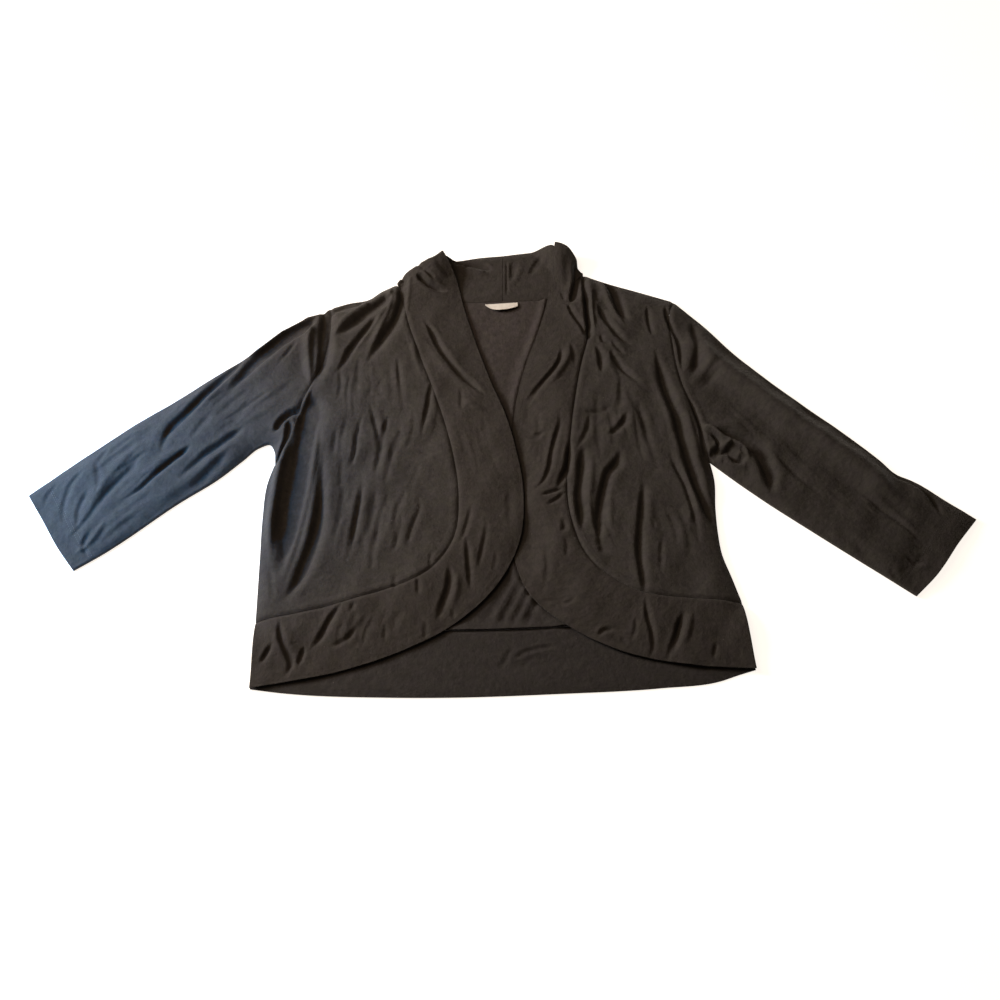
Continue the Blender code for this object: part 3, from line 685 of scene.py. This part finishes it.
def collar_lift(half, plan):
    """How far the rolled collar lifts what lies near its fold."""
    distance, t = segment_distance(plan, *half.rungs[0].reshape(2, 2))
    return rising(ROLL_AT_NECK, ROLL_AT_EDGE, t / ROLL_SHARE) * bell(distance, ROLL_RUN)


def upper_level(half, plan):
    """Level of a front or sleeve."""
    tucked = 1 - bell(outline_distance(plan), TUCK_RUN)
    return REST + relief(plan, lift=collar_lift(half, plan) * tucked)


def band_level(half, plan):
    """Level of a band: the left one rises over the right one at the middle."""
    near = bell(segment_distance(plan, *OVERLAP)[0], OVERLAP_RUN)
    step = OVERLAP_LIFT if half is LEFT else -OVERLAP_SINK
    inner = smoothstep(line_distance(plan, rungs(half, even(FOLD_STEPS))[1]) / EDGE_RUN)
    share = EDGE_LOFT + (1 - EDGE_LOFT) * inner
    raised = np.maximum(relief(plan, share, collar_lift(half, plan)) + step * near, LEAST_RELIEF)
    if half is RIGHT:
        top, run, lift = FREE_EDGE
        raised += lift * smoothstep((top - plan[..., 1]) / run) * (1 - inner)
    return REST + raised


def rounded(distance, thickness):
    """Half the thickness of a layer at a distance from an edge that is rounded off."""
    radius = thickness / 2
    return np.maximum(radius * np.sqrt(1 - drop(distance, radius)), LEAST_WALL)


def band_wall(distance):
    """Half the thickness of a band, which is pressed thinner towards its folded edge."""
    return np.minimum(rounded(distance, DOUBLED),
                      rising(EDGE_THIN, DOUBLED / 2, distance / EDGE_THIN_RUN))


# -------------------- meshes

def mesh_piece(name, points, faces, grain, material):
    """A mesh from points in millimetres; grain is each point's place along the knit."""
    mesh = bpy.data.meshes.new(name)
    place = (points + TO_CENTRE) * MM
    mesh.from_pydata(place.tolist(), [], faces.tolist())
    corners = np.empty(len(mesh.loops), np.int32)
    mesh.loops.foreach_get("vertex_index", corners)
    uvs = mesh.uv_layers.new(name="grain").data
    uvs.foreach_set("uv", (grain[corners] * MM).astype(np.float32).ravel())
    mesh.shade_smooth()
    mesh.materials.append(material)
    mesh.update()
    piece = bpy.data.objects.new(name, mesh)
    bpy.context.scene.collection.objects.link(piece)
    return piece


def quads(index, flip=False):
    """Faces between the neighbouring rows and columns of a grid of point numbers."""
    corners = [index[:-1, :-1], index[:-1, 1:], index[1:, 1:], index[1:, :-1]]
    return np.stack(corners[::-1] if flip else corners, axis=-1).reshape(-1, 4)


def shell(name, outside, inside, grain, material, closed=False):
    """One closed body between two matching grids of points, rows by columns.

    A closed shell is a tube: its last column is its first one again and isn't repeated.
    """
    rows, columns = outside.shape[:2]
    top = np.arange(rows * columns).reshape(rows, columns)
    if closed:
        top = np.column_stack((top, top[:, 0]))
    foot = top + rows * columns
    faces = [quads(top), quads(foot, True), quads(np.stack((top[0], foot[0])), True),
             quads(np.stack((top[-1], foot[-1])))]
    if not closed:
        faces += [quads(np.stack((top[:, 0], foot[:, 0]))),
                  quads(np.stack((top[:, -1], foot[:, -1])), True)]
    faces = np.concatenate(faces)
    points = np.concatenate((outside.reshape(-1, 3), inside.reshape(-1, 3)))
    a, b, c, d = points[faces].transpose(1, 0, 2)
    inside_out = (a * (np.cross(b, c) + np.cross(c, d))).sum() < 0
    if inside_out:
        faces = faces[:, (0, 3, 2, 1)]
    return mesh_piece(name, points, faces, np.tile(grain.reshape(-1, 2), (2, 1)), material)


def lifted(plan, level):
    return np.dstack((plan, np.broadcast_to(level, plan.shape[:2])))


def layer(name, plan, top, foot, material):
    """A piece that lies open over a plan, between its level at the top and at the foot."""
    return shell(name, lifted(plan, top), lifted(plan, foot), plan, material)


# -------------------- pieces

def make_back(material):
    """Back panel, flat on the surface, with a few shallow creases where it shows."""
    width, height = 500, 440
    v, u = graded(height, BACK_CELL), graded(width, BACK_CELL)
    sides = [joined([(half.side[::-1], SIDE_ON_BACK), (half.armhole[::-1], ARMHOLE_ON_BACK),
                     (half.shoulder, SHOULDER_ON_BACK)], v) for half in (LEFT, RIGHT)]
    neck = joined([(LEFT.collar[::-1, :2], 1), (RIGHT.collar[:, :2], 1)], u)
    plan = inset(patch(*sides, curve(BACK_SEAM, u), neck, v, u))
    wall = rounded(edge_run(plan), SHELL)
    return layer("back_panel", plan, SHELL / 2 + wall + back_relief(plan), SHELL / 2 - wall,
                 material)


def fold_beside_band():
    """The back stands up in a long low fold beside the free edge of the right band."""
    first, last, step = BESIDE_ROWS
    path = rungs(RIGHT, even(FOLD_STEPS))[1][first:last:step] + np.array(BESIDE_AWAY)
    return Crease(path, *BESIDE)


def between_fronts(plan):
    """1 in the middle of the back, falling off where the fronts cover it."""
    middle, reach = RIDGE_PLACE
    return smoothstep((reach - np.abs(plan[..., 0] - middle)) / RIDGE_FADE)


def to_back_seam(plan):
    return line_distance(plan, curve(BACK_SEAM, even(SEAM_STEPS)))


def back_relief(plan):
    """Low relief of the back where it shows between the fronts."""
    folds = creased(BACK_FOLDS + [fold_beside_band()], plan)
    shown = between_fronts(plan) * (plan[..., 1] < LOW_BACK)
    ridge = RIDGE * between_fronts(plan) * (1 - smoothstep(to_back_seam(plan) / RIDGE_RUN))
    creases = creased(BACK_CREASES, plan) + BACK_SWAY * sway(plan)
    low = np.minimum(creases, BACK_HIGH + shown) + ridge
    return DOUBLED - SHELL + np.maximum(low + folds, BACK_LOW)


def make_back_hem_band(material):
    """Doubled band along the back's hem. Its seam is pulled down further than the others."""
    width, height = 520, 74
    u, v = graded(width, BACK_CELL), graded(height, CELL)
    foot, seam = curve(HEM, u), curve(BACK_SEAM, u)
    ends = [between(foot[end], seam[end], v[:, None]) for end in (0, -1)]
    plan = inset(patch(*ends, foot, seam, v, u))
    wall = rounded(edge_run(plan), DOUBLED)
    dip = BACK_SEAM_DIP * bell(to_back_seam(plan), BACK_SEAM_RUN)
    fall = HEM_FALL * drop(edge_run(plan, "start"), HEM_FALL_RUN)
    low = np.minimum(creased(BACK_CREASES, plan), HEM_HIGH) - dip - fall
    top = np.maximum(DOUBLED / 2 + wall + low, DOUBLED / 2)
    return layer("back_band_at_hem", plan, top, DOUBLED / 2 - wall, material)


def make_front(half, material):
    """Front panel: side seam and armhole on one side, the band's curve on the other."""
    width, height = 160, 430
    v, u = graded(height, CELL), graded(width, CELL)
    outer = joined([(half.side[::-1], SIDE), (half.armhole[::-1], ARMHOLE)], v)
    inner, _ = rungs(half, CORNER_SHARE * (1 - v))
    foot, _ = rungs(half, 1 - (1 - CORNER_SHARE) * u)
    plan = inset(patch(outer, inner, foot, curve(half.shoulder, u), v, u))
    level = (upper_level(half, plan) + JERSEY - SHELL / 2 + allowance(plan, band_seam(half))
             - seam_dip(plan))
    wall = rounded(edge_run(plan), SHELL)
    return layer(f"front_panel_{half.name}", plan, level + wall, level - wall, material)


def make_band(half, material):
    """Collar and front band: one doubled strip that rolls over at the side of the neck."""
    length, width, behind_length = 760, 73, 110
    down, u = graded(length, CELL, (False, True)), graded(width, CELL)
    share, across = u[None, :, None], u * width
    seam, edge = rungs(half, down)
    front = inset(between(seam[:, None], edge[:, None], share))
    for row in range(BOW_ROWS):
        fade = 1 - smoothstep(row / BOW_ROWS)
        front[row] += np.outer(BOW_PEAK * u**2 * (1 - u), half.roll_out) * half.roll_bow * fade
    neck, top = np.hsplit(curve(half.collar, graded(behind_length, CELL, (True, False))), 2)
    behind = inset(between(neck[:, None], top[:, None], share))
    behind[0, :, 0] = half.collar[0, 0]  # the two halves meet at the seam
    behind[-1] = front[0]

    wall = np.minimum(rounded(across, DOUBLED), band_wall(width - across))[None, :]
    wall_behind = np.minimum(wall, rounded(edge_run(behind, "start"), DOUBLED))
    wall_front = np.minimum(wall, rounded(edge_run(front, "end"), DOUBLED))
    rise, run = half.roll_rise
    upright = rise * (1 - smoothstep(edge_run(behind, "end") / run))
    stand = DOUBLED / 2 + upright * rising(ROLL_AT_SEAM, 1, u)
    level = band_level(half, front) + DOUBLED / 2 - seam_dip(front)

    reach = (level[0] - stand[-1]) / 2
    centre = lifted(front[:1], stand[-1] + reach)[0]
    out, up = np.array((*half.roll_out, 0.0)), np.array((0.0, 0.0, 1.0))
    turns = (even(ROLL_STEPS)[1:-1] * np.pi)[:, None]
    rays = (out * np.sin(turns) - up * np.cos(turns))[:, None]

    def face(sign, low):
        """One side of the doubled strip, from the seam behind the neck down to the hem."""
        roll = centre + rays * (reach + sign * wall[0])[:, None]
        return np.concatenate((lifted(behind, low), roll, lifted(front, level + sign * wall_front)))

    outside = face(1, stand - wall_behind)
    inside = face(-1, stand + wall_behind + collar_relief(behind, across))
    along = lengths(outside[:, len(u) // 2])
    grain = np.dstack(np.broadcast_arrays(across[None, :], along[:, None]))
    return shell(f"collar_and_band_{half.name}", outside, inside, grain, material)


def collar_relief(plan, across):
    """How far the back of the collar stands off the surface, up to where it rolls over."""
    arch = 1 - drop(np.minimum(across, across[-1] - across), COLLAR_RUN)
    raised = (COLLAR_LOFT + creased(COLLAR_CREASES, plan) + BACK_SWAY * sway(plan)) * arch
    return np.maximum(raised, 0.0) * smoothstep(edge_run(plan, "end") / COLLAR_RUN)


def hem_step(to_cuff):
    """The turned hem is thicker up to its stitches, which are pulled in a little."""
    rows = sum(bell(to_cuff - back, STITCH_RUN) for back in STITCH_ROWS)
    return HEM_RISE * (1 - smoothstep((to_cuff - CUFF_HEM) / HEM_STEP)) - STITCH_SINK * rows


def make_sleeve(half, material):
    """Set-in sleeve: a flattened tube from the armhole to the open cuff, and its stitch lines."""
    length, width = 350, 190
    v, u = graded(length, SLEEVE_CELL), even(round(width / SLEEVE_CELL))
    plan = inset(patch(curve(half.sleeve_under, v), curve(half.sleeve_top, v),
                       curve(half.armhole[::-1], u), curve(half.cuff, u), v, u))

    def step_in(distance, column):
        """Points at a distance in from one long edge, which is column 0 or -1."""
        edge, inner = plan[:, column], plan[:, 1 if column == 0 else -2]
        return edge + (inner - edge) * distance / np.linalg.norm(inner - edge, axis=1)[:, None]

    # the columns near the long edges are moved in, to leave room for the rounded edges
    first, last = ((step_in(EDGE_INSET, column) - plan[:, column])[:, None] for column in (0, -1))
    fade = np.exp(-np.arange(len(u)) / SPREAD_COLUMNS)[None, :, None]
    upper = plan + first * fade + last * fade[:, ::-1]
    to_cuff = edge_run(upper, "end")
    top = (upper_level(half, upper) + JERSEY + allowance(upper, armhole_seam(half))
           - seam_dip(upper) - SHELL / 2 + hem_step(to_cuff))
    wall = rounded(edge_run(upper, "start", "end"), SHELL)

    def edge_arc(column, sign):
        """Rounded stations over one long edge, from the top layer to the lower one."""
        height, reach = (top[:, column] - SHELL / 2) / 2, wall[:, column] * sign
        stations = []
        for turn in even(EDGE_STEPS)[1:-1] * np.pi:
            rise = SHELL / 2 + height + (height + reach) * np.cos(turn)
            run = EDGE_INSET * (1 - np.sin(turn)) - reach * np.sin(turn) + SHELL / 2
            stations.append(np.column_stack((step_in(run[:, None], column), rise)))
        return stations

    def ring(sign):
        """All the stations round the tube, on its outer or its inner side."""
        lower = lifted(upper[:, ::-1], SHELL / 2 - sign * wall[:, ::-1])
        last, first = edge_arc(-1, sign), edge_arc(0, sign)[::-1]
        return np.concatenate((lifted(upper, top + sign * wall), np.stack(last, axis=1),
                               lower, np.stack(first, axis=1)), axis=1)

    outside = ring(1)
    axis = unit(plan[-1].mean(axis=0) - plan[0].mean(axis=0))
    flat = outside[..., :2]
    grain = np.dstack((flat @ np.array((-axis[1], axis[0])), flat @ axis))
    sleeve = shell(f"sleeve_tube_{half.name}", outside, ring(-1), grain, material, closed=True)

    lines = []
    for back in STITCH_ROWS:
        row = np.abs(to_cuff - back).argmin(axis=0), np.arange(len(u))
        lines += [np.column_stack((upper[row], height)) for height in ((top + wall)[row], 0 * u)]
    return sleeve, lines


def make_stitches(name, lines, material):
    """Rows of stitches: small pointed threads laid end to end along lines on the cloth."""
    length, width, height = STITCH
    turns = np.arange(STITCH_SIDES) * 2 * np.pi / STITCH_SIDES
    points = []
    for line in lines:
        run = lengths(line)
        for here in np.arange(STITCH_PITCH, run[-1] - STITCH_PITCH, STITCH_PITCH):
            centre, beyond = (np.array([np.interp(at, run, column) for column in line.T])
                              for at in (here, here + STITCH_AHEAD))
            ahead = unit(beyond - centre)
            aside = unit(np.cross((0.0, 0.0, 1.0), ahead))
            upwards = np.cross(ahead, aside)
            points += [centre + ahead * forward * length / 2
                       + girth * (aside * np.cos(turn) * width / 2
                                  + upwards * np.sin(turn) * height / 2)
                       for forward, girth in STITCH_RINGS for turn in turns]
    points = np.array(points)
    grid = np.arange(len(STITCH_RINGS) * STITCH_SIDES).reshape(-1, STITCH_SIDES)
    faces = quads(np.column_stack((grid, grid[:, 0])))
    faces = np.concatenate([faces + first for first in range(0, len(points), grid.size)])
    piece = mesh_piece(name, points, faces, points[:, :2], material)
    tidy = bmesh.new()
    tidy.from_mesh(piece.data)
    bmesh.ops.remove_doubles(tidy, verts=tidy.verts, dist=1e-6)
    tidy.to_mesh(piece.data)
    tidy.free()
    return piece


def make_label(material):
    """Bare woven label, sewn into the back neck seam and arched a little off the back."""
    (middle, top), (least, most) = LABEL_PLACE, LABEL_ENDS
    across, down = np.linspace(-1.0, 1.0, LABEL_COLUMNS)[None], even(LABEL_ROWS)[:, None]
    ends = least + (most - least) * (1 + across) / 2
    depth = ends + (LABEL_DEPTH - ends) * (1 - np.abs(across) ** LABEL_ROUND)
    plan = np.dstack(np.broadcast_arrays(middle + across * LABEL_WIDTH / 2,
                                         top + LABEL_TILT * across - down * depth))
    under = REST - SEAM_GAP + LABEL_ARCH * down * (1 - LABEL_SAG * across**2)
    return layer("bare_label", plan, under + LABEL_WALL, under, material)


# -------------------- materials

WALE, COURSE = 0.9 * MM, 0.7 * MM  # one stitch of the jersey across and along
WARP, WEFT = 0.35 * MM, 1.4 * MM  # of the label's weave
TWIST = 0.35 * MM  # of the sewing thread
LINT = (0.22, 0.20, 0.18)


class Graph:
    """A material's nodes, with one short call for each kind that is used here."""

    def __init__(self, name):
        self.material = bpy.data.materials.new(name)
        self.material.use_nodes = True
        self.tree = self.material.node_tree
        self.shader = self.tree.nodes["Principled BSDF"]
        self.grain = self.add("UVMap", "UV", {}, uv_map="grain")
        self.across = self.add("SeparateXYZ", "X", {0: self.grain})
        self.along = self.across.node.outputs["Y"]

    def put(self, socket, value):
        """Gives a socket its own value, or a link from another node."""
        if isinstance(value, bpy.types.NodeSocket):
            self.tree.links.new(value, socket)
        else:
            socket.default_value = (*value, 1.0) if isinstance(value, tuple) else value

    def add(self, kind, output, values, **settings):
        node = self.tree.nodes.new("ShaderNode" + kind)
        for name, value in settings.items():
            setattr(node, name, value)
        for name, value in values.items():
            self.put(node.inputs[name], value)
        return node.outputs[output]

    def set(self, **values):
        for name, value in values.items():
            self.put(self.shader.inputs[name.replace("_", " ")], value)

    def math(self, operation, *values):
        return self.add("Math", 0, dict(enumerate(values)), operation=operation)

    def wave(self, value, pitch=1.0):
        return self.math("SINE", self.math("MULTIPLY", value, 2 * math.pi / pitch))

    def noise(self, scale, detail=3.0, roughness=0.5):
        return self.add("TexNoise", "Fac", {"Scale": scale, "Detail": detail,
                                            "Roughness": roughness, "Vector": self.grain})

    def ramp(self, value, *stops):
        colour = self.add("ValToRGB", "Color", {"Fac": value})
        elements = colour.node.color_ramp.elements
        for n, (place, tone) in enumerate(stops):
            stop = elements[n] if n < 2 else elements.new(place)
            stop.position, stop.color = place, (*tone, 1.0)
        return colour

    def mix(self, share, first, second, blend="MIX"):
        return self.add("Mix", 2, {0: share, 6: first, 7: second},
                        data_type="RGBA", blend_type=blend)

    def bump(self, height, distance, strength, **normal):
        return self.add("Bump", "Normal", {"Height": height, "Distance": distance,
                                           "Strength": strength, **normal})


def shaded(colour, share):
    return tuple(channel * share for channel in colour)


def grey(level):
    return (level, level, level)


def jersey_material(name, colour, painted_light=None):
    """Fine jersey: rows of small V stitches, fuzz, uneven dye, a few bits of lint and, where given, a
    painted light tint that grows paler along y.
    """
    graph = Graph(name)
    leg = graph.math("PINGPONG", graph.math("MULTIPLY", graph.across, 1 / WALE), 0.5)
    rise = graph.math("MULTIPLY_ADD", leg, 1.2, graph.math("MULTIPLY", graph.along, 1 / COURSE))
    knit = graph.math("MULTIPLY_ADD", graph.wave(rise), 0.35, graph.wave(leg))

    patches = graph.noise(120.0, 6.0, 0.72)
    dye = graph.ramp(patches, (0.34, shaded(colour, 0.72)), (0.66, shaded(colour, 1.28)))
    warm = graph.ramp(graph.noise(85.0, 2.0), (0.35, (1.0, 0.95, 0.98)), (0.65, (1.0, 1.0, 0.90)))
    tinted = graph.mix(1.0, dye, warm, "MULTIPLY")
    # painted light: a tint from dark at one y to pale at another, in place of how the light falls
    if painted_light:
        (low, low_share), (high, high_share) = painted_light
        place = graph.math("DIVIDE", graph.math("SUBTRACT", graph.along, low), high - low)
        painted_light_tint = graph.ramp(place, (0.0, low_share), (1.0, high_share))
        tinted = graph.mix(1.0, tinted, painted_light_tint, "MULTIPLY")
    thread = graph.ramp(knit, (0.0, grey(0.86)), (1.0, grey(1.08)))
    knitted = graph.mix(0.6, tinted, thread, "MULTIPLY")
    flecks = graph.ramp(graph.noise(420.0, 1.0), (0.80, grey(0.0)), (0.83, grey(1.0)))

    puckers = graph.bump(graph.noise(150.0, 5.0, 0.6), 1.6 * MM, 0.8)
    fuzz = graph.bump(graph.noise(1400.0, 2.0), 0.18 * MM, 0.5, Normal=puckers)
    graph.set(Base_Color=graph.mix(graph.math("MULTIPLY", flecks, 0.5), knitted, LINT),
              Roughness=graph.math("MULTIPLY_ADD", graph.noise(60.0, 4.0), 0.24, 0.72),
              Normal=graph.bump(knit, 0.10 * MM, 0.6, Normal=fuzz), Specular_IOR_Level=0.3,
              Sheen_Weight=0.06, Sheen_Roughness=0.45, Sheen_Tint=(1.0, 0.97, 0.93))
    return graph.material


def label_material():
    """Pale satin tape: a fine warp-faced weave with uneven tone."""
    graph = Graph("label weave")
    weave = graph.math("MULTIPLY_ADD", graph.wave(graph.along, WEFT), 0.4,
                       graph.wave(graph.across, WARP))
    tone = graph.ramp(graph.noise(160.0), (0.3, (0.74, 0.71, 0.65)), (0.7, (0.84, 0.82, 0.77)))
    threads = graph.ramp(weave, (0.0, grey(0.92)), (1.0, grey(1.0)))
    graph.set(Base_Color=graph.mix(0.7, tone, threads, "MULTIPLY"),
              Roughness=graph.math("MULTIPLY_ADD", graph.noise(300.0), 0.2, 0.34),
              Normal=graph.bump(weave, 0.05 * MM, 0.5), Specular_IOR_Level=0.5,
              Sheen_Weight=0.15, Sheen_Roughness=0.35)
    return graph.material


def thread_material():
    """Black sewing thread with the twist of its plies."""
    graph = Graph("sewing thread")
    twist = graph.wave(graph.math("ADD", graph.across, graph.along), TWIST)
    tone = graph.ramp(twist, (0.0, (0.030, 0.027, 0.025)), (1.0, (0.050, 0.046, 0.042)))
    graph.set(Base_Color=tone,
              Roughness=graph.math("MULTIPLY_ADD", graph.noise(500.0), 0.2, 0.45),
              Normal=graph.bump(twist, 0.05 * MM, 0.6), Specular_IOR_Level=0.45,
              Sheen_Weight=0.1, Sheen_Roughness=0.4)
    return graph.material


# -------------------- stage

FLOOR_SIDE, FLOOR_LEVEL = 6.0, -0.0004
FLOOR = {"Base Color": (0.60, 0.59, 0.57, 1), "Roughness": 0.95, "Specular IOR Level": 0.0,
         "Emission Color": (1.0, 0.94, 0.87, 1), "Emission Strength": 0.95}
STUDIO = {"Color": (1.0, 0.80, 0.62, 1), "Strength": 0.07}

# name, kind, place, target, power, colour and the kind's own settings
LAMPS = (
    ("overhead", "AREA", (-0.60, 0.20, 1.00), (-0.05, 0.05, 0.0), 5.6, (1.0, 0.745, 0.52),
     {"size": 0.6}),
    ("key", "AREA", (-1.32, 0.36, 0.70), (-0.1, 0.0, 0.0), 30.4, (1.0, 0.92, 0.87),
     {"size": 0.45}),
    ("window", "SPOT", (-1.05, -0.03, 0.75), (-0.49, -0.03, 0.0), 130.0, (0.0, 0.40, 0.98),
     {"spot_size": math.radians(30), "spot_blend": 1.0, "shadow_soft_size": 0.08}),
)


def add(name, data, place=(0.0, 0.0, 0.0), turn=(0.0, 0.0, 0.0)):
    thing = bpy.data.objects.new(name, data)
    thing.location, thing.rotation_euler = place, turn
    bpy.context.scene.collection.objects.link(thing)
    return thing


def add_camera():
    """The photograph's view: 60 degrees below the horizon, along +Y."""
    data = bpy.data.cameras.new("camera")
    data.sensor_width, data.lens = 36.0, 43.2
    turn = (math.radians(30), 0.0, 0.0)
    bpy.context.scene.camera = add("camera", data, (0.0, -0.7328, 1.156), turn)


def add_lamp(name, kind, place, target, power, colour, settings):
    """One light at a place, aimed at a target, out of the camera's sight."""
    light = bpy.data.lights.new(name, kind)
    light.energy, light.color = power, colour
    for setting, value in settings.items():
        setattr(light, setting, value)
    across, along, down = np.subtract(target, place)
    lamp = add(name, light, place, (math.atan2(math.hypot(across, along), -down), 0.0,
                                    math.atan2(along, across) - math.pi / 2))
    lamp.visible_camera = False


def add_stage():
    """A pale floor that glows a little, a dim warm surrounding and the lamps."""
    data = bpy.data.meshes.new("floor")
    corners = [(x * FLOOR_SIDE, y * FLOOR_SIDE, FLOOR_LEVEL)
               for x, y in ((-1, -1), (1, -1), (1, 1), (-1, 1))]
    data.from_pydata(corners, [], [(0, 1, 2, 3)])
    paper, world = bpy.data.materials.new("floor"), bpy.data.worlds.new("studio")
    for owner, node, values in ((paper, "Principled BSDF", FLOOR), (world, "Background", STUDIO)):
        owner.use_nodes = True
        for name, value in values.items():
            owner.node_tree.nodes[node].inputs[name].default_value = value
    data.materials.append(paper)
    add("floor", data)
    bpy.context.scene.world = world
    bpy.context.scene.view_settings.view_transform = "Standard"
    for lamp in LAMPS:
        add_lamp(*lamp)


# -------------------- assembly

# painted light: the inside of the back is painted paler towards the neck and darker towards the hem, in
# place of how the light falls on it: y in metres and tint
BACK_PAINTED_LIGHT = ((-0.24, (0.72, 0.72, 0.74)), (0.16, (1.22, 1.16, 1.20)))


def dress():
    """Every piece, the solid that it stands for and the cloth it is cut from."""
    jersey = jersey_material("black jersey", (0.031, 0.0285, 0.0265))
    band = jersey_material("black band jersey", (0.0285, 0.0252, 0.0230))
    # the inside of the back and its hem band, with painted light that is paler towards the neck and darker
    # towards the hem
    inside = jersey_material("black jersey inside", (0.031, 0.0280, 0.0265), BACK_PAINTED_LIGHT)
    thread = thread_material()
    sleeves = {half.name: make_sleeve(half, jersey) for half in (LEFT, RIGHT)}
    stitches = {side: make_stitches(f"cuff_stitches_{side}", lines, thread)
                for side, (_, lines) in sleeves.items()}
    on_back = ("back", "back_hem_band")
    label_size = (LABEL_WIDTH * MM, 0.014)
    # node: piece, slot, flat size, flat area where it isn't a rectangle, what it rests on
    cloth = {
        "back": (make_back(inside), "jersey", (0.52, 0.44), 0.205, ()),
        "back_hem_band": (make_back_hem_band(inside), "band_jersey", (0.52, 0.075), None, ()),
        "front_left": (make_front(LEFT, jersey), "jersey", (0.21, 0.46), 0.068, on_back),
        "front_right": (make_front(RIGHT, jersey), "jersey", (0.19, 0.45), 0.057, on_back),
        "band_left": (make_band(LEFT, band), "band_jersey", (0.0735, 0.80), None,
                      on_back + ("band_right",)),
        "band_right": (make_band(RIGHT, band), "band_jersey", (0.0735, 0.75), None, on_back),
        "sleeve_left": (sleeves["left"][0], "jersey", (0.37, 0.36), 0.0875, ()),
        "sleeve_right": (sleeves["right"][0], "jersey", (0.38, 0.37), 0.0955, ()),
        "label": (make_label(label_material()), "label_weave", label_size, None, ("back",)),
    }
    for node, (piece, slot, flat, area, rests_on) in cloth.items():
        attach(piece, "root")
        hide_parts(node)
    for piece in stitches.values():
        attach(piece, "root")


dress()
add_stage()
add_camera()
